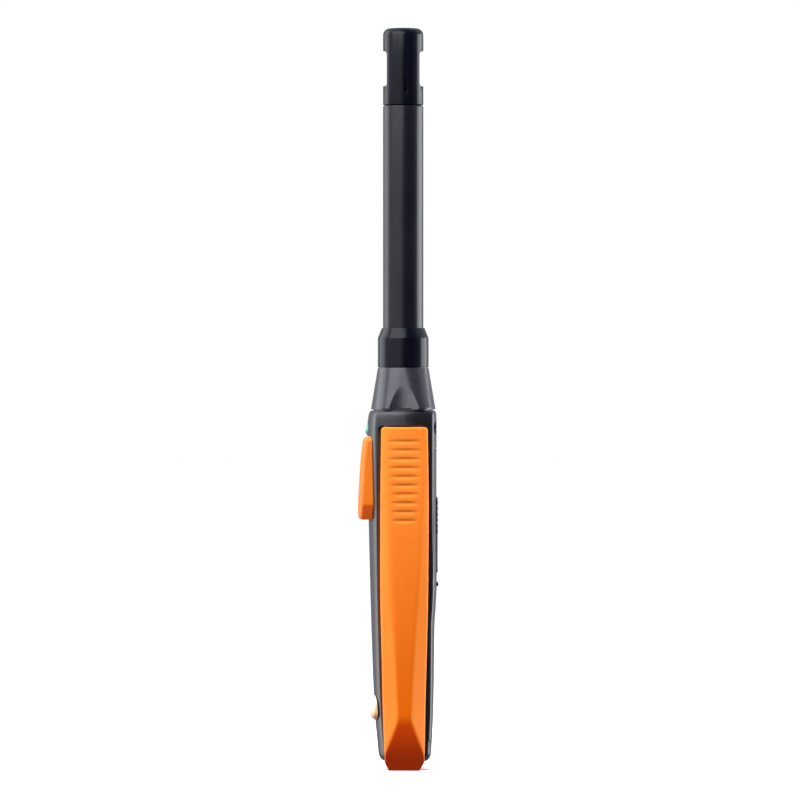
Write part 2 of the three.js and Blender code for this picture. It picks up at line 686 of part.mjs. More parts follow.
// A square push switch with a bore for its plunger.
function powerSwitch() {
  const { z, half, front } = SWITCH;
  const bore = rodX(PLUNGER.radius + PLUNGER.play, -12, PLUNGER.boreBack, 0, z);
  return box(front, chipFront, -half, half, z - half, z + half).subtract(bore);
}

add("main_board", mainBoard(), boardGreen);
add(
  "radio_module",
  box(chipFront - RADIO.depth, chipFront, -RADIO.halfWidth, RADIO.halfWidth, RADIO.bottom, RADIO.top),
  nickel,
);
add("power_switch", powerSwitch(), black);
add("switch_plunger", rodX(PLUNGER.radius, PLUNGER.front, PLUNGER.back, 0, SWITCH.z), cream);
add("status_led", box(LED.back + 0.2, chipFront, -1, 1, LED.z - 0.8, LED.z + 0.8), clearGreen);
housingScrews.forEach((place) => add(place.name, screw(place), steel));
boardScrews.forEach(({ name, y, z }) => {
  add(name, screw({ y, z, seat: BOARD.back, tip: BOARD_SCREW.tip }, BOARD_SCREW), steel);
});

// ---- Batteries, tray and contacts ------------------------------------------------------------------

function batteryTray() {
  const { bottom, top } = UPPER_BAY;
  const outside = ({ front, back, halfWidth: y }, z0, z1) => box(front, back, -y, y, z0, z1);
  const bay = ({ bayFront, bayHalfWidth: y }, z0, z1) => box(bayFront, BEYOND, -y, y, z0, z1);
  let made = outside(TRAY, bottom - 1.1, top + 0.6)
    .add(outside(LOWER_TRAY, LOWER_BAY.bottom - 0.7, bottom))
    .subtract(bay(TRAY, bottom, top))
    .subtract(bay(LOWER_TRAY, LOWER_BAY.bottom, LOWER_BAY.top));
  const headRoom = BOARD_SCREW.head + 0.3;
  for (const { y, z } of boardScrews) made = made.subtract(rodX(headRoom, BOARD.back - 0.4, 0, y, z, 16));
  return made;
}

// One cell standing on low, with its nub up, or down when flipped.
function cell(x, y, low, flipped) {
  const { radius, length, nubRadius, nub } = CELL;
  const body = length - nub;
  const soft = 0.5;
  const profile = [
    [0, 0.3],
    [3.6, 0.3],
    [3.9, 0],
    [radius - soft, 0],
    [radius, soft],
    [radius, body - soft],
    [radius - soft, body],
    [nubRadius + 0.3, body],
    [nubRadius, body + 0.2],
    [nubRadius, length - 0.2],
    [nubRadius - 0.3, length],
    [0, length],
  ];
  const placed = flipped ? profile.map(([r, z]) => [r, length - z]).reverse() : profile;
  return turned(placed, 24).translate([x, y, low]);
}

// A conical battery spring on (x, y), from its wide end at z0 to its narrow end at z1.
function contactSpring(x, y, z0, z1) {
  const [wide, narrow, wire, turns, stepsPerTurn] = [3.5, 2.1, 0.3, 3, 10];
  const rise = Math.sign(z1 - z0) * wire;
  const points = [];
  for (let i = 0; i <= turns * stepsPerTurn; i++) {
    const share = i / (turns * stepsPerTurn);
    const radius = THREE.MathUtils.lerp(wide, narrow, share);
    const angle = turns * 2 * Math.PI * share;
    const z = THREE.MathUtils.lerp(z0 + rise, z1 - rise, share);
    points.push([x + radius * Math.cos(angle), y + radius * Math.sin(angle), z]);
  }
  return lead(points, wire, turns * stepsPerTurn);
}

// A contact sheet standing across the bay, z0 to z0 + CONTACT.
function contactSheet(x0, x1, y0, y1, z0) {
  return box(x0, x1, y0, y1, z0, z0 + CONTACT);
}

const { cellX, cellY } = UPPER_BAY;
const topSheet = UPPER_BAY.top - 0.1 - CONTACT;
const bridgeSheet = UPPER_BAY.bottom + 0.1;
const lowerTopSheet = LOWER_BAY.top - 0.1 - CONTACT;
const lowerSheet = LOWER_BAY.bottom + 0.1;
const upCell = topSheet - 0.1 - CELL.length;
const downCell = bridgeSheet + CONTACT + 0.1;
const lowerCell = lowerTopSheet - 0.1 - CELL.length;

add("battery_tray", batteryTray(), black);
add("battery_1", cell(cellX, -cellY, upCell, false), cellWrap);
add("battery_2", cell(cellX, cellY, downCell, true), cellWrap);
add("battery_3", cell(LOWER_BAY.cellX, 0, lowerCell, false), cellWrap);
add("contact_plate_1", contactSheet(-1.5, 6.5, -9.4, -1.4, topSheet), nickel);
add("contact_plate_2", contactSheet(-1.5, 6.5, 1.4, 9.4, topSheet), nickel);
add("contact_bridge", contactSheet(-1.5, 6.5, -9.4, 9.4, bridgeSheet), nickel);
add("contact_plate_3", contactSheet(-3.2, 4, -4.2, 4.2, lowerTopSheet), nickel);
add("contact_plate_4", contactSheet(-3.2, 4, -4.2, 4.2, lowerSheet), nickel);
add("contact_spring_1", contactSpring(cellX, -cellY, downCell - 0.05, upCell - 0.05), nickel);
add(
  "contact_spring_2",
  contactSpring(cellX, cellY, topSheet - 0.05, downCell + CELL.length + 0.05),
  nickel,
);
add(
  "contact_spring_3",
  contactSpring(LOWER_BAY.cellX, 0, lowerSheet + CONTACT + 0.05, lowerCell - 0.05),
  nickel,
);

export default instrument;
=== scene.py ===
"""A pocket stick thermo-hygrometer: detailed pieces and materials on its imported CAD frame, lit in a
pale studio and seen from the side.

Lengths in the geometry code are millimetres in the CAD's own frame: +Z up the tube from the foot,
-X out of the button, +X out of the battery cover. mesh_object() turns them into metres.
"""

import bisect
import math

import bpy
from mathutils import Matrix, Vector


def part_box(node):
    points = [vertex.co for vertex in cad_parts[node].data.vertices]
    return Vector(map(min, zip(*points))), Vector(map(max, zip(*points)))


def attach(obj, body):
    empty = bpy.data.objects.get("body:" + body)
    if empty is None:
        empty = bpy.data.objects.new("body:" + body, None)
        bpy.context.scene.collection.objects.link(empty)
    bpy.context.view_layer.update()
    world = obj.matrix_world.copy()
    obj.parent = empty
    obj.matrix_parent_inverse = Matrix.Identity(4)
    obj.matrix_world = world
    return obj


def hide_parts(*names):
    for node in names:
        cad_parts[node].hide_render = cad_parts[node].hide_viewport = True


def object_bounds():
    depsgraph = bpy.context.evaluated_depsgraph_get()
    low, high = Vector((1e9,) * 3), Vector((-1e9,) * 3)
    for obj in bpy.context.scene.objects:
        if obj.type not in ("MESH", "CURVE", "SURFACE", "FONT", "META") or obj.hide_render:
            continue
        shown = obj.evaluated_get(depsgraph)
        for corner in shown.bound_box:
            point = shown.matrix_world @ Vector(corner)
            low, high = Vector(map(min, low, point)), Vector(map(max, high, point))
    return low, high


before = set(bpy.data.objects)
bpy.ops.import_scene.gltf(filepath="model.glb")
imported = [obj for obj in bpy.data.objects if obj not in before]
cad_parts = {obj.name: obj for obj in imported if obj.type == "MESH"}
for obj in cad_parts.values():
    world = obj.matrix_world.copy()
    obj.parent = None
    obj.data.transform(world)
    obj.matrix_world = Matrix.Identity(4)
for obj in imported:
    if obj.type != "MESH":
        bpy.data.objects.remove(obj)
cad_low, cad_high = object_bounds()

MM = 0.001  # metres in a millimetre


def box_mm(node):
    """The lowest and highest corner of a CAD node, in millimetres."""
    low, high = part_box(node)
    return low / MM, high / MM


# ---- Sizes, from the CAD frame where it states them ------

LENGTH = cad_high[2] / MM
TUBE_LOW, TUBE_HIGH = box_mm("probe_tube")
COLLAR_LOW, COLLAR_HIGH = box_mm("collar_nut")
LENS_LOW, LENS_HIGH = box_mm("led_window")
BADGE_LOW, BADGE_HIGH = box_mm("front_badge")
CAP_BOTTOM = box_mm("sensor_cap")[0].z
BAND_TOP = box_mm("grip_band")[1].z
BUTTON_BACK = box_mm("power_button")[1].x
COVER_HIGH = box_mm("battery_cover")[1]

TUBE_RADIUS = TUBE_HIGH.x
COLLAR_RADIUS = COLLAR_HIGH.x
TUBE_WALL = 0.95
COLLAR_SHOULDER = 141.5
CAP_SEAM = 217.8
CAP_WALL = 1.15
WINDOW = {"half_width": 3.8, "bottom": 224, "top": 235.6, "corner": 1}

FRONT_DOME = 3.5  # how far the front bulges out from the flat sides
BACK_DOME = 2.4
FRONT_POWER, BACK_POWER = 1.8, 2.9  # how round the front and the back are: 2 is an ellipse
SIDE_CROWN = 0.12  # the share by which a side falls away toward its front and back edges
SHELL_WALL = 1.5
SIDE_WALL = 1.05  # the wall left under the grips
SPLIT_GAP = 0.03  # each shell stops this far from the split between them
NECK_HOLE = {"radius": 7.4, "bottom": 112, "top": 119}
OPENING_GAP = 0.22  # clearance round the button and the cover
LENS_GAP = 0.08
BEYOND = 20  # well outside the handle, for cutters
BAND_SEAT = 0.8  # how deep the grip band is let into the shells
FRONT_GAP, BACK_GAP, TOP_GAP = 1.05, 0.4, 0.6  # the dark gap between the shells and the grip band
FRONT_GAP_DEPTH = 0.95  # how deep the front gap goes into the shell's edge
BAND_MIDDLE = 0.4
BAND_THICKNESS = 2
BAND_FOOT = {"top": 4.3, "left": 4.65, "left_flare": 2.4, "right": 5.35, "right_flare": 2.5}
FACET_TOP = 16.4
FACET_RUNOUT = 0.4  # how fast the facet parts from the side above its top
BUTTON_BOTTOM, BUTTON_TOP = 82.1, 109.1
BUTTON_HALF_WIDTH = 9.2
BUTTON_FLANGE = {"front": -8.3, "half_width": 10.1, "corner": 3.8}
BUTTON_CHAMFER = {"top": 87, "slope": 0.35}
COVER_BOTTOM, COVER_KNEE = 8.7, 62
COVER_INSIDE = 6.65
COVER_FOOT_HALF_WIDTH = 6.8
PAD = {"bottom": 64.6, "top": 89.6, "half_width": 6.5, "corner": 2, "inside": 10.2, "face": 11.32}
PAD_RIDGES = {"bottom": 76.6, "top": 88.6, "first": 77.2, "pitch": 1.9, "height": 0.13}
HOOKS = {"starts": (-5.8, 3.6), "width": 2.2}
BADGE_RISE = 1.45


# ---- Curves of the handle, each a value at a height ------


def curve(*points):
    """A smooth curve through (height, value) points, read at any height."""
    heights = [z for z, _ in points]
    values = [v for _, v in points]
    last = len(points) - 1
    slopes = []
    for i in range(len(points)):
        low, high = max(i - 1, 0), min(i + 1, last)
        slopes.append((values[high] - values[low]) / (heights[high] - heights[low]))

    def read(z):
        z = min(max(z, heights[0]), heights[-1])
        i = min(bisect.bisect_right(heights, z) - 1, last - 1)
        span = heights[i + 1] - heights[i]
        t = (z - heights[i]) / span
        start = values[i] * (1 + 2 * t) + slopes[i] * span * t
        end = values[i + 1] * (3 - 2 * t) - slopes[i + 1] * span * (1 - t)
        return start * (1 - t) ** 2 + end * t**2

    return read


front_face = curve(
    *((3.1, 7.9), (20, 9.4), (45, 10.4), (80, 11.3)),
    *((108, 11.85), (113, 11.75), (118, 11.25)),
)
back_face = curve(
    *((3.1, 9.1), (20, 9.9), (42, 10.2), (48, 10.3)),
    *((55, 10.75), (62, 11), (90, 10.9), (118, 10.95)),
)
grip_half_width = curve((0, 12.7), (16.4, 13.4), (45, 14.6), (80, 15), (118, 14.6))
bevel_drop = curve((0, 4.6), (16.4, 4.1), (40, 3.05), (60, 1.95), (80, 1.45), (100, 1), (118, 0.85))
strip_half_width = curve((0, 1.9), (16.4, 2.1), (36, 2.9), (49, 3.6), (62, 4.6), (80, 5.6), (118, 6.6))
facet_half_width = curve((0, 6.4), (4.3, 8.35), (7, 9.6), (10, 10.85), (13, 12.05), (16.4, 13.4))
# How softly the flat strip of a grip meets the bevels on its left and right.
left_ease = curve((0, 0.6), (16.4, 0.7), (35, 0.9), (55, 1.5), (112, 1.6))
right_ease = curve((0, 0.6), (16.4, 0.7), (35, 0.8), (55, 0.9), (112, 0.9))
left_crown = curve((0, 0), (40, 0), (60, 0.008), (80, 0.012), (112, 0.014))
band_reach = curve((0, 6.7), (16.4, 7.0), (45, 7.7), (80, 7.9), (118, 7.9))
band_left = curve((4.3, 6.05), (10, 6.35), (23, 6.75), (36, 7), (56, 7.45), (89, 7.6), (111, 7.25))
band_right = curve((4.3, 6.95), (10, 7.1), (23, 7.3), (36, 7.65), (56, 8.1), (89, 8.3), (111, 8))


def shell_half_width(z):
    """Half the shells' width at a height, just inside the grips."""
    beside = grip_half_width(z) - bevel_drop(z) - 0.5
    return min(beside, facet_half_width(z) - 0.5) if z < FACET_TOP else beside


def front_at(y, z):
    """How far the domed front stands out from the tube's axis at a point."""
    round_share = (1 - abs(y / shell_half_width(z)) ** FRONT_POWER) ** (1 / FRONT_POWER)
    return front_face(z) - FRONT_DOME + FRONT_DOME * round_share


def soft_over(distance, radius):
    """max(distance, 0) with its corner rounded off."""
    if distance <= -radius:
        return 0.0
    if distance >= radius:
        return distance
    return (distance + radius) ** 2 / (4 * radius)


def edge_drop(distance, radius):
    """How far a rounded edge falls at a distance in from it."""
    if distance >= radius:
        return 0.0
    return radius - math.sqrt(max(radius**2 - (radius - max(distance, 0)) ** 2, 0))


def spread(start, end, step):
    """Even steps from start to end, both included."""
    count = max(int(math.ceil((end - start) / step)), 1)
    return [start + (end - start) * i / count for i in range(count + 1)]


# ---- Mesh building ---------------------------------------


def mesh_object(name, vertices, faces):
    mesh = bpy.data.meshes.new(name)
    mesh.from_pydata([Vector(v) * MM for v in vertices], [], faces)
    mesh.update()
    piece = bpy.data.objects.new(name, mesh)
    bpy.context.scene.collection.objects.link(piece)
    return piece


def loft(name, levels):
    """A closed skin over (height, loop) levels from the bottom up, each loop anticlockwise."""
    count = len(levels[0][1])
    vertices = [(x, y, z) for z, loop in levels for x, y in loop]
    faces = []
    for ring in range(len(levels) - 1):
        for j in range(count):
            a = ring * count + j
            b = ring * count + (j + 1) % count
            faces.append((a, b, b + count, a + count))
    top = (len(levels) - 1) * count
    faces.append(tuple(reversed(range(count))))
    faces.append(tuple(range(top, top + count)))
    return mesh_object(name, vertices, faces)


def revolve(name, profile, segments=128):
    """A solid of revolution about the tube's axis from a closed (radius, height) profile, listed
    anticlockwise in the radius-height plane."""
    vertices = []
    for i in range(segments):
        angle = 2 * math.pi * i / segments
        vertices += [(r * math.cos(angle), r * math.sin(angle), z) for r, z in profile]
    count = len(profile)
    faces = []
    for i in range(segments):
        for j in range(count):
            a = i * count + j
            b = i * count + (j + 1) % count
            c = (i + 1) % segments * count
            faces.append((a, c + j, c + (j + 1) % count, b))
    return mesh_object(name, vertices, faces)


def prism(name, outline, low, high, along):
    """An outline pushed from low to high along one axis. It is drawn as (y, z) for "x", (x, z) for
    "y" and (x, y) for "z", anticlockwise as seen from the axis's far end for "x" and "z"."""
    place = {
        "x": lambda u, v, depth: (depth, u, v),
        "y": lambda u, v, depth: (u, depth, v),
        "z": lambda u, v, depth: (u, v, depth),
    }[along]
    count = len(outline)
    ends = (high, low) if along == "y" else (low, high)
    vertices = [place(u, v, depth) for depth in ends for u, v in outline]
    faces = [(j, (j + 1) % count, (j + 1) % count + count, j + count) for j in range(count)]
    faces.append(tuple(reversed(range(count))))
    faces.append(tuple(range(count, 2 * count)))
    return mesh_object(name, vertices, faces)


def block(name, x, y, z):
    """A box between the two values given for each axis."""
    outline = [(x[0], y[0]), (x[1], y[0]), (x[1], y[1]), (x[0], y[1])]
    return prism(name, outline, z[0], z[1], "z")


def rounded_rectangle(x0, x1, y0, y1, radii, steps=8):
    """An outline whose corner radii are given from the bottom right one round to the bottom left."""
    corners = [(x1, y0, 1, -1), (x1, y1, 1, 1), (x0, y1, -1, 1), (x0, y0, -1, -1)]
    outline = []
    for i, (x, y, right, up) in enumerate(corners):
        r = radii[i]
        for step in range(steps + 1):
            angle = math.pi / 2 * (i - 1 + step / steps)
            outline.append((x - right * r + r * math.cos(angle), y - up * r + r * math.sin(angle)))
    return outline


def circle(radius, x=0.0, y=0.0, steps=48):
    angles = [2 * math.pi * i / steps for i in range(steps)]
    return [(x + radius * math.cos(a), y + radius * math.sin(a)) for a in angles]


def apply_modifiers(piece):
    """Replaces a piece's mesh by what its modifiers make of it."""
    made = piece.evaluated_get(bpy.context.evaluated_depsgraph_get())
    mesh = bpy.data.meshes.new_from_object(made)
    piece.modifiers.clear()
    piece.data = mesh


def combine(piece, tool, operation):
    """Joins tool to piece, cuts it away or keeps what they share, and removes tool."""
    modifier = piece.modifiers.new(operation.lower(), "BOOLEAN")
    modifier.operation = operation
    modifier.solver = "EXACT"
    modifier.material_mode = "TRANSFER"
    modifier.object = tool
    apply_modifiers(piece)
    bpy.data.objects.remove(tool)
    return piece


def cut(piece, *tools):
    for tool in tools:
        combine(piece, tool, "DIFFERENCE")
    return piece


def join(piece, *tools):
    for tool in tools:
        combine(piece, tool, "UNION")
    return piece


def dress(piece, body, node, material, crease=30, bevel=0.0):
    """Gives a finished mesh its edges and material, and puts it in a CAD node's place."""
    if bevel:
        modifier = piece.modifiers.new("edges", "BEVEL")
        modifier.width = bevel * MM
        modifier.segments = 2
        modifier.limit_method = "ANGLE"
        modifier.angle_limit = math.radians(crease)
        modifier.use_clamp_overlap = False
        apply_modifiers(piece)
    piece.data.shade_smooth()
    piece.data.set_sharp_from_angle(angle=math.radians(crease))
    if material not in piece.data.materials[:]:
        piece.data.materials.clear()
        piece.data.materials.append(material)
    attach(piece, body)
    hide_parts(node)
    return piece


# ---- Materials -------------------------------------------


def set_range(node, from_low, from_high, to_low, to_high):
    """Fills in the numbers of a Map Range node."""
    node.inputs["From Min"].default_value = from_low
    node.inputs["From Max"].default_value = from_high
    node.inputs["To Min"].default_value = to_low
    node.inputs["To Max"].default_value = to_high


class Surface:
    """A Principled material whose colour, roughness and relief come from noise on the object."""

    def __init__(self, name, roughness=0.4, metallic=0.0, **sockets):
        self.material = bpy.data.materials.new(name)
        self.material.use_nodes = True
        self.nodes = self.material.node_tree.nodes
        self.links = self.material.node_tree.links
        self.shader = self.nodes["Principled BSDF"]
        self.shader.inputs["Roughness"].default_value = roughness
        self.shader.inputs["Metallic"].default_value = metallic
        for socket, value in sockets.items():
            label = socket.replace("_", " ").title().replace("Ior", "IOR")
            self.shader.inputs[label].default_value = value
        coordinates = self.nodes.new("ShaderNodeTexCoord")
        self.place = coordinates.outputs["Object"]
        self.facing = coordinates.outputs["Normal"]

    def noise(self, size, stretch=(1, 1, 1), detail=4):
        """Noise whose features are about size millimetres across, stretched along the axes."""
        mapping = self.nodes.new("ShaderNodeMapping")
        mapping.inputs["Scale"].default_value = [1 / (size * MM * s) for s in stretch]
        self.links.new(self.place, mapping.inputs["Vector"])
        noise = self.nodes.new("ShaderNodeTexNoise")
        noise.inputs["Scale"].default_value = 1
        noise.inputs["Detail"].default_value = detail
        self.links.new(mapping.outputs["Vector"], noise.inputs["Vector"])
        return noise.outputs["Fac"]

    def height(self, low, high):
        """0 at the height low and 1 at high, in millimetres up the object."""
        split = self.nodes.new("ShaderNodeSeparateXYZ")
        self.links.new(self.place, split.inputs["Vector"])
        return self.remap(split.outputs["Z"], low * MM, high * MM, 0, 1)

    def looking(self, axis, low, high):
        """0 where a face looks as far along the axis as low says, 1 where it looks as far as high."""
        split = self.nodes.new("ShaderNodeSeparateXYZ")
        self.links.new(self.facing, split.inputs["Vector"])
        return self.remap(split.outputs[axis], low, high, 0, 1)

    def product(self, first, second):
        node = self.nodes.new("ShaderNodeMath")
        node.operation = "MULTIPLY"
        self.links.new(first, node.inputs[0])
        self.links.new(second, node.inputs[1])
        return node.outputs["Value"]

    def remap(self, value, from_low, from_high, to_low, to_high):
        node = self.nodes.new("ShaderNodeMapRange")
        set_range(node, from_low, from_high, to_low, to_high)
        self.links.new(value, node.inputs["Value"])
        return node.outputs["Result"]

    def mix(self, factor, first, second):
        """A colour between two colours, each given as numbers or as a socket."""
        node = self.nodes.new("ShaderNodeMix")
        node.data_type = "RGBA"
        self.links.new(factor, node.inputs["Factor"])
        for socket, colour in (("A", first), ("B", second)):
            target = next(i for i in node.inputs if i.name == socket and i.type == "RGBA")
            if isinstance(colour, bpy.types.NodeSocket):
                self.links.new(colour, target)
            else:
                target.default_value = (*colour, 1)
        return next(o for o in node.outputs if o.type == "RGBA")

    def mottle(self, first, second, size, low=0.35, high=0.65):
        """Colours the surface from first to second in soft patches of a size."""
        return self.mix(self.remap(self.noise(size), low, high, 0, 1), first, second)

    def worn(self, colour, edge, amount=1.0):
        """Lightens the colour along the sharp edges, where hands rub it."""
        point = self.nodes.new("ShaderNodeNewGeometry").outputs["Pointiness"]
        return self.mix(self.remap(point, 0.53, 0.60, 0, amount), colour, edge)

    def colour(self, socket):
        self.links.new(socket, self.shader.inputs["Base Color"])
        return self

    def roughness(self, size, low, high, stretch=(1, 1, 1)):
        """Lets the roughness wander between low and high in patches of a size."""
        value = self.remap(self.noise(size, stretch), 0.3, 0.7, low, high)
        self.links.new(value, self.shader.inputs["Roughness"])
        return self

    def relief(self, size, depth, stretch=(1, 1, 1)):
        """A fine grain of that feature size, depth millimetres deep. The last step of a finish."""
        bump = self.nodes.new("ShaderNodeBump")
        bump.inputs["Strength"].default_value = 1
        bump.inputs["Distance"].default_value = depth * MM
        self.links.new(self.noise(size, stretch, detail=3), bump.inputs["Height"])
        self.links.new(bump.outputs["Normal"], self.shader.inputs["Normal"])
        return self.material


def anthracite_plastic():
    """The shells and cover: dark grey ABS with a fine spark-eroded grain."""
    s = Surface("anthracite_plastic", specular_ior_level=1.0, ior=1.56)
    base = s.mottle((0.0045, 0.0042, 0.0075), (0.006, 0.0056, 0.0095), 9)
    return s.colour(s.worn(base, (0.03, 0.03, 0.04), 0.4)).roughness(3, 0.3, 0.38).relief(0.35, 0.006)


def neck_plastic():
    """The neck: a lighter, smoother mid grey."""
    s = Surface("neck_plastic", specular_ior_level=0.7, ior=1.58)
    base = s.mottle((0.0145, 0.013, 0.021), (0.018, 0.0165, 0.0255), 6)
    return s.colour(s.worn(base, (0.05, 0.05, 0.06), 0.4)).roughness(2.5, 0.24, 0.32).relief(1.2, 0.0006)


def black_gloss():
    """The collar nut and sensor cap: polished near-black plastic with faint swirls."""
    s = Surface("black_gloss", specular_ior_level=0.4)
    base = s.mottle((0.0018, 0.0026, 0.006), (0.0028, 0.0038, 0.009), 5)
    return s.colour(s.worn(base, (0.03, 0.03, 0.035), 0.5)).roughness(2, 0.15, 0.22).relief(1.4, 0.002)


def tube_finish():
    """The tube: dark anodised metal, satin, with drawing lines along its length."""
    s = Surface("tube_finish", specular_ior_level=0.6)
    base = s.mottle((0.0055, 0.0058, 0.0095), (0.008, 0.0083, 0.013), 14)
    return s.colour(base).roughness(1.2, 0.2, 0.28, (1, 1, 30)).relief(0.5, 0.004, (1, 1, 60))


def grip_rubber():
    """The grip band: soft-touch orange elastomer, faintly mottled. The flat strip carries painted shade,
    darker toward the foot, and the facets that look down by the foot carry darker painted shade still."""
    s = Surface("grip_rubber", specular_ior_level=0.16)
    base = s.mottle((0.92, 0.222, 0.021), (0.94, 0.237, 0.025), 7)
    left_strip, right_strip = s.looking("Y", -0.88, -0.97), s.looking("Y", 0.88, 0.97)
    # painted shade: the deeper orange the flat strips darken to toward the foot, standing in for light
    # falling off down the handle
    deep = (0.9, 0.15, 0.0003)
    strip = s.mix(s.product(s.height(95, 22), left_strip), base, deep)
    strip = s.mix(s.product(s.height(95, 22), right_strip), strip, deep)
    # painted shade on the facets by the foot, darker toward the bottom where they look further down
    facet = s.mix(s.height(13, 4), (0.97, 0.082, 0.0003), (0.6, 0.042, 0.0001))
    # where the facets' painted shade goes: faces that look down, below the facets' top
    foot = s.product(s.height(18, 16.5), s.looking("Z", -0.12, -0.32))
    return s.colour(s.mix(foot, strip, facet)).roughness(2, 0.42, 0.55).relief(0.28, 0.006)


def button_plastic():
    """The power button: satin orange, harder and glossier than the grips. Its faces that look down
    carry painted shade.
    """
    s = Surface("button_plastic", specular_ior_level=0.4)
    base = s.mottle((0.82, 0.175, 0.004), (0.85, 0.19, 0.006), 5)
    # painted shade: faces that look down are painted a deeper orange
    painted_shade_toe = s.mix(s.looking("Z", -0.1, -0.3), base, (0.86, 0.12, 0.002))
    return s.colour(s.worn(painted_shade_toe, (0.96, 0.32, 0.06), 0.6)).roughness(2, 0.36, 0.46).relief(0.3, 0.006)


def clear_green():
    """The light window: clear plastic with a faint green body."""
    s = Surface("clear_green", specular_ior_level=0.5, transmission_weight=0.25)
    base = s.mottle((0.3, 0.72, 0.6), (0.38, 0.8, 0.68), 0.8)
    return s.colour(base).roughness(0.6, 0.06, 0.16).relief(0.5, 0.004)


def badge_cream():
    """The blank badge: cream at the top, running to a warm orange at its lower edge."""
    s = Surface("badge_cream", specular_ior_level=0.45)
    flow = s.mix(s.height(BADGE_LOW.z + 1, BADGE_HIGH.z - 2), (0.86, 0.42, 0.2), (0.86, 0.8, 0.58))
    streaks = s.mix(s.remap(s.noise(1.2), 0.4, 0.7, 0, 0.25), flow, (0.95, 0.88, 0.74))
    return s.colour(streaks).roughness(1, 0.3, 0.42).relief(0.3, 0.004)


def natural_nylon():
    """The plunger and the lead's connector: undyed nylon."""
    s = Surface("natural_nylon", specular_ior_level=0.4)
    base = s.mottle((0.68, 0.64, 0.52), (0.76, 0.72, 0.6), 1.5)
    return s.colour(base).roughness(0.8, 0.4, 0.55).relief(0.2, 0.005)


def black_rubber():
    """The tube's seal and the lead's sheath."""
    s = Surface("black_rubber", specular_ior_level=0.3)
    base = s.mottle((0.01, 0.01, 0.011), (0.018, 0.018, 0.019), 1.5)
    return s.colour(base).roughness(1, 0.6, 0.8).relief(0.2, 0.01)


def board_green():
    """Circuit board: green solder mask over slightly lighter copper tracks."""
    s = Surface("board_green", specular_ior_level=0.5)
    tracks = s.remap(s.noise(1.6, (1, 0.5, 3), detail=0), 0.5, 0.53, 0, 1)
    base = s.mix(tracks, (0.008, 0.07, 0.028), (0.016, 0.13, 0.05))
    return s.colour(base).roughness(1, 0.25, 0.4).relief(0.8, 0.015)


def nickel_plate():
    """The battery contacts, the sensor's can and the radio's shield."""
    s = Surface("nickel_plate", metallic=1.0)
    base = s.mottle((0.58, 0.57, 0.54), (0.68, 0.67, 0.63), 2)
    return s.colour(base).roughness(0.6, 0.22, 0.4, (1, 1, 6)).relief(0.25, 0.003)


def zinc_steel():
    """The screws."""
    s = Surface("zinc_steel", metallic=1.0)
    base = s.mottle((0.33, 0.34, 0.35), (0.45, 0.46, 0.47), 0.8)
    return s.colour(base).roughness(0.4, 0.26, 0.42).relief(0.15, 0.004)


def cell_jacket():
    """A plain cell jacket: grey metallised film."""
    s = Surface("cell_jacket", metallic=0.6)
    base = s.mottle((0.2, 0.22, 0.25), (0.26, 0.28, 0.31), 6)
    worn = s.worn(base, (0.6, 0.6, 0.6), 0.8)
    return s.colour(worn).roughness(1.5, 0.24, 0.36, (1, 1, 4)).relief(0.6, 0.006)


def matte_black():
    """Moulded black plastic of the tray and switch."""
    s = Surface("matte_black", specular_ior_level=0.4)
    base = s.mottle((0.011, 0.011, 0.013), (0.018, 0.018, 0.02), 3)
    return s.colour(base).roughness(1.5, 0.45, 0.6).relief(0.25, 0.01)


def shadow_black():
    """Painted shade for the walls and floor of the gap round the grips, where hardly any light reaches:
    a dark brown that stands in for their shadow, tinted by a painted reflection of the orange grips.
    """
    s = Surface("shadow_black", specular_ior_level=0.1)
    # painted shadow colour, brownish as a painted reflection of the orange grips
    base = s.mottle((0.12, 0.052, 0.022), (0.15, 0.066, 0.03), 2)
    return s.colour(base).roughness(1, 0.75, 0.9).relief(0.3, 0.01)


ANTHRACITE = anthracite_plastic()
NECK_GREY = neck_plastic()
GLOSS = black_gloss()
TUBE_DARK = tube_finish()
GRIP_ORANGE = grip_rubber()
BUTTON_ORANGE = button_plastic()
LENS_GREEN = clear_green()
CREAM = badge_cream()
NYLON = natural_nylon()
RUBBER = black_rubber()
BOARD = board_green()
NICKEL = nickel_plate()
ZINC = zinc_steel()
JACKET = cell_jacket()
MATTE_BLACK = matte_black()
SHADOW = shadow_black()


# ---- Handle: outlines ------------------------------------


SIDE_STEPS = 14  # points along each flat side


HANDLE_POWERS = (FRONT_POWER, BACK_POWER)


def handle_loop(front, back, half_width, front_flank, back_flank, powers=HANDLE_POWERS, steps=20):
    """A domed front and back joined by flat sides: one level of a shell or the neck."""
    loop = []
    for reach, flank, power, toward, start in (
        (back, back_flank, powers[1], 1, -math.pi / 2),
        (front, front_flank, powers[0], -1, math.pi / 2),
    ):
        for i in range(2 * steps + 1):
            angle = start + math.pi * i / (2 * steps)
            across = max(abs(math.cos(angle)), 1e-9) ** (2 / power)
            along = math.copysign(abs(math.sin(angle)) ** (2 / power), math.sin(angle))
            loop.append((toward * (flank + (reach - flank) * across), half_width * along))
        other_flank = back_flank + front_flank - flank
        for i in range(1, SIDE_STEPS):
            x = toward * flank * (1 - i / SIDE_STEPS) - toward * other_flank * i / SIDE_STEPS
            loop.append((x, toward * half_width))
    return loop


def shell_loop(z, inset=0.0):
    """One level of the handle, its flat sides very slightly crowned."""
    front, back = front_face(z), back_face(z)
    pull = min(max(inset, 0), 0.5)
    front_flank, back_flank = front - FRONT_DOME - pull, back - BACK_DOME - pull
    half_width = shell_half_width(z) - inset
    loop = []
    for x, y in handle_loop(front - inset, back - inset, half_width, front_flank, back_flank):
        away = min(abs(x) / (front_flank if x < 0 else back_flank), 1)
        loop.append((x, y * (1 - SIDE_CROWN * away**2)))
    return loop


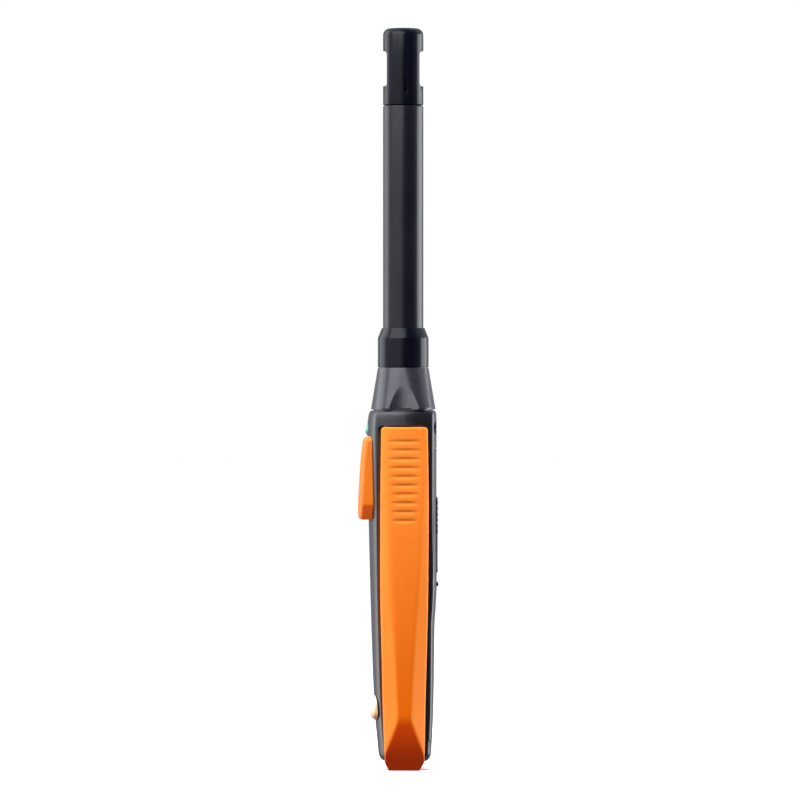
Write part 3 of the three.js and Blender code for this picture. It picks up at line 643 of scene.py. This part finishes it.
# Height and inset of the levels round the foot and the shoulder.
SHELL_ROUNDING = ((3.1, 1.2), (3.5, 0.75), (4.1, 0.35), (4.8, 0.1), (5.6, 0))
SHELL_SHOULDER = ((115.2, 0.02), (116.3, 0.08), (117.0, 0.2), (117.5, 0.45), (117.8, 0.8))


def between(loop, keep_x):
    """A loop with what lies outside two values of x pushed back to them."""
    low, high = keep_x
    return [(min(max(x, low), high), y) for x, y in loop]


def shell_blank(name, keep_x):
    """The outside of the handle between two values of x."""
    levels = [(z, shell_loop(z, inset)) for z, inset in SHELL_ROUNDING]
    levels += [(z, shell_loop(z)) for z in spread(6, 114.2, 1.2)]
    levels += [(z, shell_loop(z, inset)) for z, inset in SHELL_SHOULDER]
    return loft(name, [(z, between(loop, keep_x)) for z, loop in levels])


def shell_hollow(name):
    """The space inside both shells, which leaves a wall under the grips."""
    levels = []
    for z in spread(5, 116.4, 4):
        wall = shell_half_width(z) - SIDE_WALL
        loop = shell_loop(z, SHELL_WALL)
        levels.append((z, [(x, min(max(y, -wall), wall)) for x, y in loop]))
    return loft(name, levels)


def band_sides(z, front_margin=0.0, back_margin=0.0, top_margin=0.0):
    """The left and right edge of the grip band at a height, drawn in round its top corners."""
    left, right = band_left(z), band_right(z)
    if z < BAND_FOOT["top"]:
        foot = max(z, 0) / BAND_FOOT["top"]
        left = min(left, BAND_FOOT["left"] + BAND_FOOT["left_flare"] * foot)
        right = min(right, BAND_FOOT["right"] + BAND_FOOT["right_flare"] * foot)
    pull = edge_drop(BAND_TOP + top_margin - z, 1 + top_margin)
    return -(left + front_margin - pull), right + back_margin - pull


def groove_slab(side):
    """What the gap round one grip takes from the shells. Its faces bring the gap's painted shade."""
    levels = []
    top = BAND_TOP + TOP_GAP
    for z in spread(-1, top - 2, 2) + spread(top - 1.75, top, 0.125):
        left, right = band_sides(z, FRONT_GAP, BACK_GAP, TOP_GAP)
        ledge = band_sides(z)[0] + 0.1
        half_width = shell_half_width(max(z, 0))
        floor = half_width - BAND_SEAT
        deep = half_width * (1 - SIDE_CROWN) - FRONT_GAP_DEPTH
        loop = [(left, deep), (ledge, deep), (ledge, floor), (right, floor)]
        loop += [(right, BEYOND), (left, BEYOND)]
        levels.append((z, loop if side > 0 else [(x, -y) for x, y in reversed(loop)]))
    slab = loft("groove", levels)
    # the painted-shade material for the gap's walls and floor
    slab.data.materials.append(SHADOW)
    return slab


def cover_outline(margin):
    """The cover as (y, z): straight to the knee, then narrowing to the foot."""
    top, bottom = COVER_HIGH.z + margin, COVER_BOTTOM - margin
    wide, narrow = COVER_HIGH.y + margin, COVER_FOOT_HALF_WIDTH + margin
    right = [(narrow - 1.5, bottom), (narrow, bottom + 1.5), (wide, COVER_KNEE)]
    right += [(wide, top - 2), (wide - 0.6, top - 0.6), (wide - 2, top)]
    return right + [(-y, z) for y, z in reversed(right)]


def button_half_width(z):
    """Half the button's width at a height: round corners above, long chamfers below."""
    half = BUTTON_HALF_WIDTH - edge_drop(BUTTON_TOP - z, 1.6)
    return half - soft_over(BUTTON_CHAMFER["top"] - z, 0.5) * BUTTON_CHAMFER["slope"]


def button_outline(margin):
    """The button as (y, z), grown by a margin."""
    heights = spread(BUTTON_BOTTOM, 88, 0.5) + spread(107.2, BUTTON_TOP, 0.15)
    right = [(button_half_width(z) + margin, z + margin * (1 if z > 100 else -1)) for z in heights]
    return right + [(-y, z) for y, z in reversed(right)]


def lens_outline(margin):
    """The light window as (y, z): a slot with round ends."""
    radius = (LENS_HIGH.z - LENS_LOW.z) / 2 + margin - 0.01
    left, right = LENS_LOW.y - margin, LENS_HIGH.y + margin
    bottom, top = LENS_LOW.z - margin, LENS_HIGH.z + margin
    return rounded_rectangle(left, right, bottom, top, [radius] * 4)


# ---- Handle: pieces --------------------------------------


def seam_lip(name, inset, keep_x):
    """The tongue along the split, which stands inside the outer skin."""
    return loft(name, [(z, between(shell_loop(z, inset), keep_x)) for z in spread(4.6, 116.9, 2)])


def neck_hole():
    return prism("neck_hole", circle(NECK_HOLE["radius"]), NECK_HOLE["bottom"], NECK_HOLE["top"], "z")


def front_shell():
    piece = shell_blank("front_shell_piece", (-BEYOND, -SPLIT_GAP))
    piece.data.materials.append(ANTHRACITE)
    cut(piece, seam_lip("lip_seat", 0.7, (-0.95, 2)))
    cut(piece, shell_hollow("hollow"), groove_slab(-1), groove_slab(1))
    cut(piece, prism("button_hole", button_outline(OPENING_GAP), -BEYOND, -5, "x"))
    cut(piece, prism("lens_hole", lens_outline(LENS_GAP), -BEYOND, -5, "x"))
    cut(piece, neck_hole())
    dress(piece, "housing", "front_shell", ANTHRACITE, crease=28)


def rear_shell():
    piece = shell_blank("rear_shell_piece", (SPLIT_GAP, BEYOND))
    piece.data.materials.append(ANTHRACITE)
    join(piece, seam_lip("lip", 0.75, (-0.9, 1)))
    cut(piece, shell_hollow("hollow"), groove_slab(-1), groove_slab(1))
    cut(piece, prism("cover_hole", cover_outline(OPENING_GAP), COVER_INSIDE - 0.25, BEYOND, "x"))
    cut(piece, neck_hole())
    for number in (1, 2):
        low, high = box_mm(f"housing_screw_{number}")
        y, z = (low.y + high.y) / 2, (low.z + high.z) / 2
        cut(piece, prism("screw_well", circle(2.1, y, z, 40), high.x - 1.3, BEYOND, "x"))
    dress(piece, "housing", "rear_shell", ANTHRACITE, crease=28)


RIBS = {"count": 10, "top": 107.6, "pitch": 2.87, "width": 0.55, "depth": 0.38, "middle": 0.45}


def rib_depth(x, z):
    """How deep the grip's grooves are at a point."""
    number = min(max(round((RIBS["top"] - z) / RIBS["pitch"]), 0), RIBS["count"] - 1)
    share = number / (RIBS["count"] - 1)
    offset = z - (RIBS["top"] - number * RIBS["pitch"])
    half_length = 6 - 1.7 * share
    reach = min(abs(x - RIBS["middle"]) / half_length, 1)
    return RIBS["depth"] * math.exp(-((offset / RIBS["width"]) ** 2)) * (1 - reach**2)


def grip_height(x, z):
    """How far the grip stands out from the middle plane at a point of its side."""
    strip = strip_half_width(z)
    slope = bevel_drop(z) / (band_reach(z) - strip)
    ease = left_ease(z) if x < BAND_MIDDLE else right_ease(z)
    out = grip_half_width(z) - slope * soft_over(abs(x - BAND_MIDDLE) - strip, ease)
    out -= left_crown(z) * min(x - 2, 0) ** 2
    if z < FACET_TOP + 1:
        runout = FACET_RUNOUT * max(z - FACET_TOP, 0)
        facet = facet_half_width(min(z, FACET_TOP)) + runout
        out -= soft_over(out - facet, 0.7)
    return out - rib_depth(x, z)


def grip_inside(z):
    """The space between the two sides of the grip band at a height, open at the front and back."""
    y = min(grip_half_width(z) - BAND_THICKNESS, shell_half_width(z) - BAND_SEAT + 0.03)
    return [(-BEYOND, -y), (BEYOND, -y), (BEYOND, y), (-BEYOND, y)]


def resample(points, count):
    """The same open line of points with exactly count points, evenly spread over the list."""
    last = len(points) - 1
    line = []
    for i in range(count):
        at = last * i / (count - 1)
        j = min(int(at), last - 1)
        t = at - j
        line.append(tuple(a + (b - a) * t for a, b in zip(points[j], points[j + 1])))
    return line


def grip_band():
    rounding = 0.55
    edge_steps = [0, 0.05, 0.13, 0.26, 0.42, rounding]
    top = BAND_TOP
    rib_low = RIBS["top"] - RIBS["count"] * RIBS["pitch"]
    heights = spread(0, FACET_TOP + 1.1, 0.35) + spread(FACET_TOP + 2.1, rib_low, 1.2)
    heights += spread(rib_low + 0.15, top - 0.8, 0.15)
    heights += [top - step for step in reversed(edge_steps)]
    levels = []
    for z in heights:
        left, right = band_sides(z)
        inner = spread(left + rounding + 0.25, right - rounding - 0.25, 0.25)
        across = [left + s for s in edge_steps] + inner + [right - s for s in reversed(edge_steps)]
        side = []
        for x in across:
            drop = edge_drop(min(x - left, right - x), rounding) + edge_drop(top - z, rounding)
            side.append((x, grip_height(x, z) - drop))
        side = resample(side, 74)
        levels.append((z, [(x, -y) for x, y in side] + [(x, y) for x, y in reversed(side)]))
    piece = loft("grip_band_piece", levels)
    cut(piece, loft("inside", [(z, grip_inside(z)) for z in spread(3.3, 119, 3)]))
    dress(piece, "housing", "grip_band", GRIP_ORANGE, crease=50)


def thumb_pad():
    """The raised pad, its upper half ridged, with soft edges all round."""
    levels = []
    for z in spread(PAD["bottom"], PAD["top"], 0.2):
        from_end = min(z - PAD["bottom"], PAD["top"] - z)
        half = PAD["half_width"] - edge_drop(from_end, PAD["corner"])
        ridged = soft_over(z - PAD_RIDGES["bottom"], 0.5) > 0.5 and z < PAD_RIDGES["top"]
        wave = 1 - math.cos(2 * math.pi * (z - PAD_RIDGES["first"]) / PAD_RIDGES["pitch"])
        ridge = PAD_RIDGES["height"] * wave / 2 if ridged else 0
        rise = PAD["face"] + ridge - edge_drop(from_end, 0.6)
        ys = [half * math.sin(math.pi * (i / 24 - 0.5)) for i in range(25)]
        loop = [(PAD["inside"], half), (PAD["inside"], -half)]
        loop += [(rise - edge_drop(half - abs(y), 0.6), y) for y in ys]
        levels.append((z, loop))
    return loft("thumb_pad", levels)


def battery_cover():
    levels = [(z, shell_loop(z)) for z in spread(6, 108, 1.2)]
    piece = loft("battery_cover_piece", levels)
    combine(piece, prism("cover_edge", cover_outline(0), COVER_INSIDE, BEYOND, "x"), "INTERSECT")
    hollow = [(z, shell_loop(z, SHELL_WALL)) for z in spread(5, 110, 3)]
    cut(piece, loft("hollow", hollow))
    join(piece, thumb_pad())
    bump = rounded_rectangle(-4.5, 4.5, 60.3, 61.5, [0.55] * 4)
    join(piece, prism("bump", bump, PAD["inside"], COVER_HIGH.x - 0.1, "x"))
    for start in HOOKS["starts"]:
        across = (start, start + HOOKS["width"])
        join(piece, block("hook", (5.4, 8.4), across, (8.8, 10.4)))
        join(piece, block("hook_tip", (5.4, 6.2), across, (6.7, 9)))
    dress(piece, "cover", "battery_cover", ANTHRACITE, crease=28, bevel=0.12)


# How far the button stands out of the shell at a height.
button_raise = curve(
    *((82.1, 2.45), (82.35, 2.95), (82.9, 3.3), (84.5, 3.4), (88, 3.3), (95, 2.8)),
    *((102, 2.2), (107, 1.5), (108.3, 1.25), (108.8, 0.9), (109.1, 0.45)),
)


def power_button():
    levels = []
    heights = spread(BUTTON_BOTTOM, 83.1, 0.1) + spread(83.3, 88, 0.25) + spread(88.8, 106.4, 0.8)
    heights += spread(106.8, BUTTON_TOP, 0.1)
    for z in heights:
        half = button_half_width(z)
        loop = [(BUTTON_BACK, -half), (BUTTON_BACK, half)]
        for i in range(61):
            y = half * math.cos(math.pi * i / 60)
            lift = button_raise(z) - edge_drop(half - abs(y), 0.9)
            loop.append((-front_at(y, z) - lift, y))
        levels.append((z, loop))
    piece = loft("power_button_piece", levels)
    half, corner = BUTTON_FLANGE["half_width"], BUTTON_FLANGE["corner"]
    flange = rounded_rectangle(-half, half, BUTTON_BOTTOM - 1, BUTTON_TOP + 0.6, [corner] * 4)
    join(piece, prism("flange", flange, BUTTON_FLANGE["front"], BUTTON_BACK, "x"))
    dress(piece, "button", "power_button", BUTTON_ORANGE, crease=40)


def light_window():
    piece = prism("led_window_piece", lens_outline(0), LENS_LOW.x + 0.02, LENS_HIGH.x, "x")
    dress(piece, "housing", "led_window", LENS_GREEN, crease=40, bevel=0.3)


def front_badge():
    """A blank badge that follows the shell, thickest low down."""
    low, high = BADGE_LOW.z, BADGE_HIGH.z
    swell = curve(
        *((low, 0.1), (low + 0.5, 0.7), (low + 1.4, 1.0)),
        *((low + 3, 1.0), (high - 3, 0.55), (high, 0.1)),
    )
    levels = []
    for z in spread(low, high, 0.2):
        half = BADGE_HIGH.y - edge_drop(min(z - low, high - z), 2.8)
        ys = [half * math.sin(math.pi * (i / 32 - 0.5)) for i in range(33)]
        back = [(-front_at(y, z) - 0.03, y) for y in ys]
        face = []
        for y in ys:
            rise = 0.05 + BADGE_RISE * swell(z) - edge_drop(half - abs(y), 0.7) * 0.8
            face.append((-front_at(y, z) - max(rise, 0.05), y))
        levels.append((z, back + face[::-1]))
    piece = loft("front_badge_piece", levels)
    dress(piece, "housing", "front_badge", CREAM, crease=60)


# ---- Neck, collar, tube and cap --------------------------


NECK_BASE, NECK_TOP = 118.1, 131.7
NECK_FOOT = {"half_width": 13.1, "reach": 10.62, "flank": 2.6, "powers": (2.2, 2.6)}
NECK_SIDE = {"foot": 12.69, "slope": 0.268}  # the flat side: where it starts and how it leans in
NECK_SKIRT = {"half_width": 12.1, "reach": 9.7, "bottom": 117.75}  # fills the joint under the neck
NECK_PLUG = {"radius": 7.2, "bottom": 115}
# The arched hollow in each side of the neck: its top is a share of the neck's height.
ARCH = {"top": 0.74, "half_width": 4.9, "depth": 0.75}


def neck():
    """The cone that turns the handle's section into the tube's round one."""
    front_power, back_power = NECK_FOOT["powers"]
    levels = []
    for step in range(41):
        t = step / 40
        z = NECK_BASE + (NECK_TOP - NECK_BASE) * t

        def mix(start, end):
            return start + (end - start) * t

        foot = edge_drop(z - NECK_BASE, 0.2)
        reach = mix(NECK_FOOT["reach"], COLLAR_RADIUS) - foot
        half_width = mix(NECK_FOOT["half_width"], COLLAR_RADIUS) - foot
        flank = mix(NECK_FOOT["flank"], 0)
        powers = (mix(front_power, 2), mix(back_power, 2))
        loop = handle_loop(reach, reach, half_width, flank, flank, powers=powers, steps=30)
        arch = max(1 - t / ARCH["top"], 0)
        flat = NECK_SIDE["foot"] - NECK_SIDE["slope"] * (z - NECK_BASE)
        dish = ARCH["depth"] * arch
        arch_reach = ARCH["half_width"] * math.sqrt(arch) + 0.1
        dished = []
        for x, y in loop:
            hollow = flat - dish * max(1 - (x / arch_reach) ** 2, 0)
            dished.append((x, math.copysign(abs(y) - soft_over(abs(y) - hollow, 0.1), y)))
        levels.append((z, dished))
    piece = loft("neck_cone_piece", levels)
    reach, half_width, flank = NECK_SKIRT["reach"], NECK_SKIRT["half_width"], NECK_FOOT["flank"]
    skirt = handle_loop(reach, reach, half_width, flank, flank, powers=NECK_FOOT["powers"], steps=30)
    join(piece, prism("foot_skirt", skirt, NECK_SKIRT["bottom"], NECK_BASE + 0.5, "z"))
    top_skirt = circle(COLLAR_RADIUS - 0.35, steps=96)
    join(piece, prism("top_skirt", top_skirt, NECK_TOP - 0.5, NECK_TOP + 0.15, "z"))
    join(piece, prism("plug", circle(NECK_PLUG["radius"]), NECK_PLUG["bottom"], NECK_BASE + 0.5, "z"))
    dress(piece, "housing", "neck_cone", NECK_GREY, crease=40)


def rounded(points, radius, steps=5):
    """A closed profile whose every corner is eased by a small radius."""
    line = []
    count = len(points)
    for i in range(count):
        corner = Vector(points[i])
        before = Vector(points[i - 1]) - corner
        after = Vector(points[(i + 1) % count]) - corner
        ease = min(radius, before.length * 0.45, after.length * 0.45)
        start = corner + before.normalized() * ease
        end = corner + after.normalized() * ease
        for step in range(steps + 1):
            t = step / steps
            line.append(start * (1 - t) ** 2 + corner * 2 * t * (1 - t) + end * t**2)
    return [(p.x, p.y) for p in line]


def collar_nut():
    bore = TUBE_RADIUS + 0.15
    bottom, top = COLLAR_LOW.z, COLLAR_HIGH.z
    profile = [(bore, bottom), (COLLAR_RADIUS, bottom), (COLLAR_RADIUS, COLLAR_SHOULDER)]
    profile += [(bore + 0.25, top), (bore, top)]
    piece = revolve("collar_nut_piece", rounded(profile, 0.25))
    dress(piece, "housing", "collar_nut", GLOSS, crease=50)


def probe_tube():
    bore = TUBE_RADIUS - TUBE_WALL
    bottom, top = TUBE_LOW.z, TUBE_HIGH.z
    profile = [(bore, bottom), (TUBE_RADIUS, bottom), (TUBE_RADIUS, top), (bore, top)]
    piece = revolve("probe_tube_piece", rounded(profile, 0.35))
    dress(piece, "housing", "probe_tube", TUBE_DARK, crease=60)


def sensor_cap():
    bore = TUBE_RADIUS - CAP_WALL
    end_round = 2.2
    depths = (end_round, 1.7, 1.2, 0.8, 0.45, 0.2, 0.06, 0)
    end = [(TUBE_RADIUS - edge_drop(depth, end_round), LENGTH - depth) for depth in depths]
    profile = [(bore - 0.9, CAP_BOTTOM), (bore - 0.1, CAP_BOTTOM), (bore - 0.1, CAP_SEAM)]
    profile += [(TUBE_RADIUS - 0.25, CAP_SEAM), (TUBE_RADIUS, CAP_SEAM + 0.25)]
    profile += end + [(0.01, LENGTH), (0.01, LENGTH - 1.7)]
    profile += [(bore - 1, LENGTH - 1.7), (bore, LENGTH - 2.7)]
    profile += [(bore, CAP_SEAM + 1.5), (bore - 0.9, CAP_SEAM + 0.6)]
    piece = revolve("sensor_cap_piece", profile)
    half, corner = WINDOW["half_width"], WINDOW["corner"]
    opening = rounded_rectangle(-half, half, WINDOW["bottom"], WINDOW["top"], [corner] * 4)
    cut(piece, prism("windows", opening, -10, 10, "x"))
    cut(piece, prism("rear_vent", circle(0.6, 0, 221.9, 24), 0, 10, "x"))
    cut(piece, prism("side_vent", circle(0.55, 0.9, 222.7, 24), -10, 0, "y"))
    dress(piece, "housing", "sensor_cap", GLOSS, crease=40, bevel=0.1)


# ---- Screws and cells ------------------------------------


def turned_along_x(name, profile, y, z, segments=40):
    """A solid of revolution about a line along X at (y, z), from a (radius, x) profile."""
    piece = revolve(name, profile, segments)
    for vertex in piece.data.vertices:
        a, b, x = vertex.co
        vertex.co = (x, y * MM + a, z * MM + b)
    return piece


def housing_screw(number):
    """A pan-head screw with a cross recess."""
    node = f"housing_screw_{number}"
    low, high = box_mm(node)
    y, z = (low.y + high.y) / 2, (low.z + high.z) / 2
    head, shank = (high.y - low.y) / 2, 1
    seat, crown = high.x - 1.35, high.x
    rim = seat + 0.7
    profile = [(0.01, low.x), (0.35, low.x), (shank, low.x + 1), (shank, seat), (head, seat), (head, rim)]
    profile += [(head * math.cos(a), rim + (crown - rim) * math.sin(a)) for a in (0.4, 0.8, 1.2)]
    profile += [(0.01, crown)]
    piece = turned_along_x(f"{node}_piece", profile, y, z)
    for half_y, half_z in ((1.15, 0.26), (0.26, 1.15)):
        across, up = (y - half_y, y + half_y), (z - half_z, z + half_z)
        cut(piece, block("slot", (crown - 0.8, crown + 1), across, up))
    dress(piece, "housing", node, ZINC, crease=35)


def battery_cell(number, flipped):
    """An AAA cell: a jacket with rolled ends, a recessed seal ring and the nub."""
    node = f"battery_{number}"
    low, high = box_mm(node)
    x, y = (low.x + high.x) / 2, (low.y + high.y) / 2
    radius, length = (high.y - low.y) / 2, high.z - low.z
    nub = 1.2
    body = length - nub
    profile = [(0.01, 0), (3.6, 0), (4.0, 0.25)]
    profile += [(radius - 0.5, 0.1), (radius - 0.1, 0.35), (radius, 0.8), (radius, body - 0.8)]
    profile += [(radius - 0.12, body - 0.3), (radius - 0.55, body - 0.05), (4.2, body - 0.1)]
    profile += [(4.0, body - 0.45), (2.6, body - 0.45), (2.3, body - 0.05), (1.95, body + 0.1)]
    profile += [(1.9, length - 0.3), (1.65, length - 0.05), (1.3, length), (0.01, length)]
    piece = revolve(f"{node}_piece", profile, 64)
    for vertex in piece.data.vertices:
        a, b, up = vertex.co / MM
        place = (x + a, y - b, high.z - up) if flipped else (x + a, y + b, low.z + up)
        vertex.co = Vector(place) * MM
    dress(piece, "housing", node, JACKET, crease=50)


# ---- Everything on the frame -----------------------------

front_shell()
rear_shell()
grip_band()
battery_cover()
power_button()
light_window()
front_badge()
neck()
collar_nut()
probe_tube()
sensor_cap()
for screw in (1, 2, 3, 4):
    housing_screw(screw)
for cell in (1, 2, 3):
    battery_cell(cell, flipped=cell == 2)

CAD_FINISHES = {
    RUBBER: ("tube_seal", "sensor_lead"),
    BOARD: ("sensor_board", "main_board"),
    NICKEL: ("humidity_sensor", "radio_module", "contact_bridge"),
    ZINC: ("board_screw_1", "board_screw_2"),
    NYLON: ("lead_connector", "switch_plunger"),
    MATTE_BLACK: ("power_switch", "battery_tray"),
    LENS_GREEN: ("status_led",),
}
CAD_FINISHES[NICKEL] += tuple(f"contact_plate_{number}" for number in (1, 2, 3, 4))
CAD_FINISHES[NICKEL] += tuple(f"contact_spring_{number}" for number in (1, 2, 3))
for finish, nodes in CAD_FINISHES.items():
    for node in nodes:
        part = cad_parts[node]
        part.data.materials.clear()
        part.data.materials.append(finish)


# ---- Studio ----------------------------------------------


MIDDLE = (0, 0, 0.11)
COOL_WHITE = (0.93, 0.945, 1)


def studio_floor():
    """A pale matt floor, far larger than the view. The object doesn't take its light or mirror it,
    so that it can be white without lifting the object's dark and shaded faces."""
    half = 12000
    corners = [(-half, -half, 0), (half, -half, 0), (half, half, 0), (-half, half, 0)]
    floor = mesh_object("floor", corners, [(0, 1, 2, 3)])
    s = Surface("studio_floor", specular_ior_level=0.0)
    s.place = s.nodes.new("ShaderNodeNewGeometry").outputs["Position"]
    s.colour(s.mottle((0.85, 0.85, 0.85), (0.87, 0.87, 0.87), 300)).roughness(200, 0.8, 0.9)
    floor.data.materials.append(s.material)
    floor.visible_diffuse = False
    floor.visible_glossy = False


def place_light(name, light, place, aim, mirrored=True):
    lamp = bpy.data.objects.new(name, light)
    lamp.visible_glossy = mirrored
    lamp.location = place
    lamp.rotation_euler = (Vector(aim) - Vector(place)).to_track_quat("-Z", "Y").to_euler()
    bpy.context.scene.collection.objects.link(lamp)


def soft_box(name, place, width, height, radiance, mirrored=True):
    """A rectangular soft box that looks at the middle of the object, as bright as radiance all over."""
    light = bpy.data.lights.new(name, "AREA")
    light.color = COOL_WHITE
    light.shape = "RECTANGLE"
    light.size, light.size_y = width, height
    light.energy = radiance * math.pi * width * height
    place_light(name, light, place, MIDDLE, mirrored)


def overhead_wash(strength):
    """Even light straight down, which whitens the floor and hardly touches upright faces."""
    light = bpy.data.lights.new("overhead_wash", "SUN")
    light.energy = strength
    light.angle = math.radians(20)
    place_light("overhead_wash", light, (0, 0, 2), (0, 0, 0), mirrored=False)


# The grey of what the object mirrors, by degrees round it: 0 toward the camera, positive to the right.
SURROUNDINGS = (
    *((-180, 0.4), (-150, 0.42), (-125, 0.95), (-95, 0.68), (-75, 0.6), (-15, 0.65), (-5, 0.3)),
    *((0, 0.15), (8, 0.04), (50, 0.03), (75, 0.17), (95, 0.55), (125, 0.6), (150, 0.45), (180, 0.4)),
)


def studio_world():
    """A white backdrop. What the object mirrors is white behind it, a soft grey to the front left and
    nearly black to the front right, which gives its glossy curves a light and a dark side."""
    world = bpy.data.worlds.new("studio_world")
    bpy.context.scene.world = world
    world.use_nodes = True
    nodes, links = world.node_tree.nodes, world.node_tree.links
    split = nodes.new("ShaderNodeSeparateXYZ")
    links.new(nodes.new("ShaderNodeTexCoord").outputs["Generated"], split.inputs["Vector"])
    front = nodes.new("ShaderNodeMath")
    front.operation = "MULTIPLY"
    front.inputs[1].default_value = -1
    links.new(split.outputs["Y"], front.inputs[0])
    azimuth = nodes.new("ShaderNodeMath")
    azimuth.operation = "ARCTAN2"
    links.new(split.outputs["X"], azimuth.inputs[0])
    links.new(front.outputs["Value"], azimuth.inputs[1])
    turn = nodes.new("ShaderNodeMapRange")
    set_range(turn, -math.pi, math.pi, 0, 1)
    links.new(azimuth.outputs["Value"], turn.inputs["Value"])
    ramp = nodes.new("ShaderNodeValToRGB")
    links.new(turn.outputs["Result"], ramp.inputs["Fac"])
    stops = ramp.color_ramp.elements
    for degrees, grey in SURROUNDINGS:
        place = (degrees + 180) / 360
        stop = stops[0] if place == 0 else stops[-1] if place == 1 else stops.new(place)
        stop.color = (*(grey * part for part in COOL_WHITE), 1)
    height = nodes.new("ShaderNodeMapRange")  # darker below the horizon
    set_range(height, -0.35, 0, 0.74, 1.15)
    links.new(split.outputs["Z"], height.inputs["Value"])
    mirrored = nodes["Background"]
    links.new(ramp.outputs["Color"], mirrored.inputs["Color"])
    links.new(height.outputs["Result"], mirrored.inputs["Strength"])
    backdrop = nodes.new("ShaderNodeBackground")
    backdrop.inputs["Color"].default_value = (1, 1, 1, 1)
    choice = nodes.new("ShaderNodeMixShader")
    links.new(nodes.new("ShaderNodeLightPath").outputs["Is Camera Ray"], choice.inputs["Fac"])
    links.new(mirrored.outputs["Background"], choice.inputs[1])
    links.new(backdrop.outputs["Background"], choice.inputs[2])
    links.new(choice.outputs["Shader"], nodes["World Output"].inputs["Surface"])


def studio_camera():
    """A long lens level with the middle of the object, square to its -Y side."""
    lens, sensor = 300, 36
    field = 0.2623  # metres across the picture at the object
    camera = bpy.data.cameras.new("camera")
    camera.lens = lens
    camera.sensor_width = sensor
    view = bpy.data.objects.new("camera", camera)
    middle = Vector((-0.00105, 0, cad_high[2] / 2 - 0.0003))
    view.location = middle + Vector((0, -field * lens / sensor, 0))
    view.rotation_euler = (math.pi / 2, 0, 0)
    bpy.context.scene.collection.objects.link(view)
    bpy.context.scene.camera = view


studio_floor()
studio_world()
studio_camera()
soft_box("key_above", (-0.13, -0.37, 0.76), 1.1, 0.32, 7.6, mirrored=False)
soft_box("glint_above", (-0.33, -0.55, 0.6), 1.0, 0.6, 1.8)
soft_box("left_fill", (-1.2, 0.15, 0.25), 0.9, 1.7, 2.5, mirrored=False)
soft_box("right_fill", (1.2, 0.12, 0.25), 0.9, 1.7, 5.2, mirrored=False)
soft_box("left_rim", (-1.2, 0.45, 0.25), 0.9, 1.7, 1.5)
soft_box("right_rim", (1.2, 0.45, 0.1), 1.0, 0.8, 3.1)
overhead_wash(2.2)

bpy.context.scene.view_settings.view_transform = "Standard"
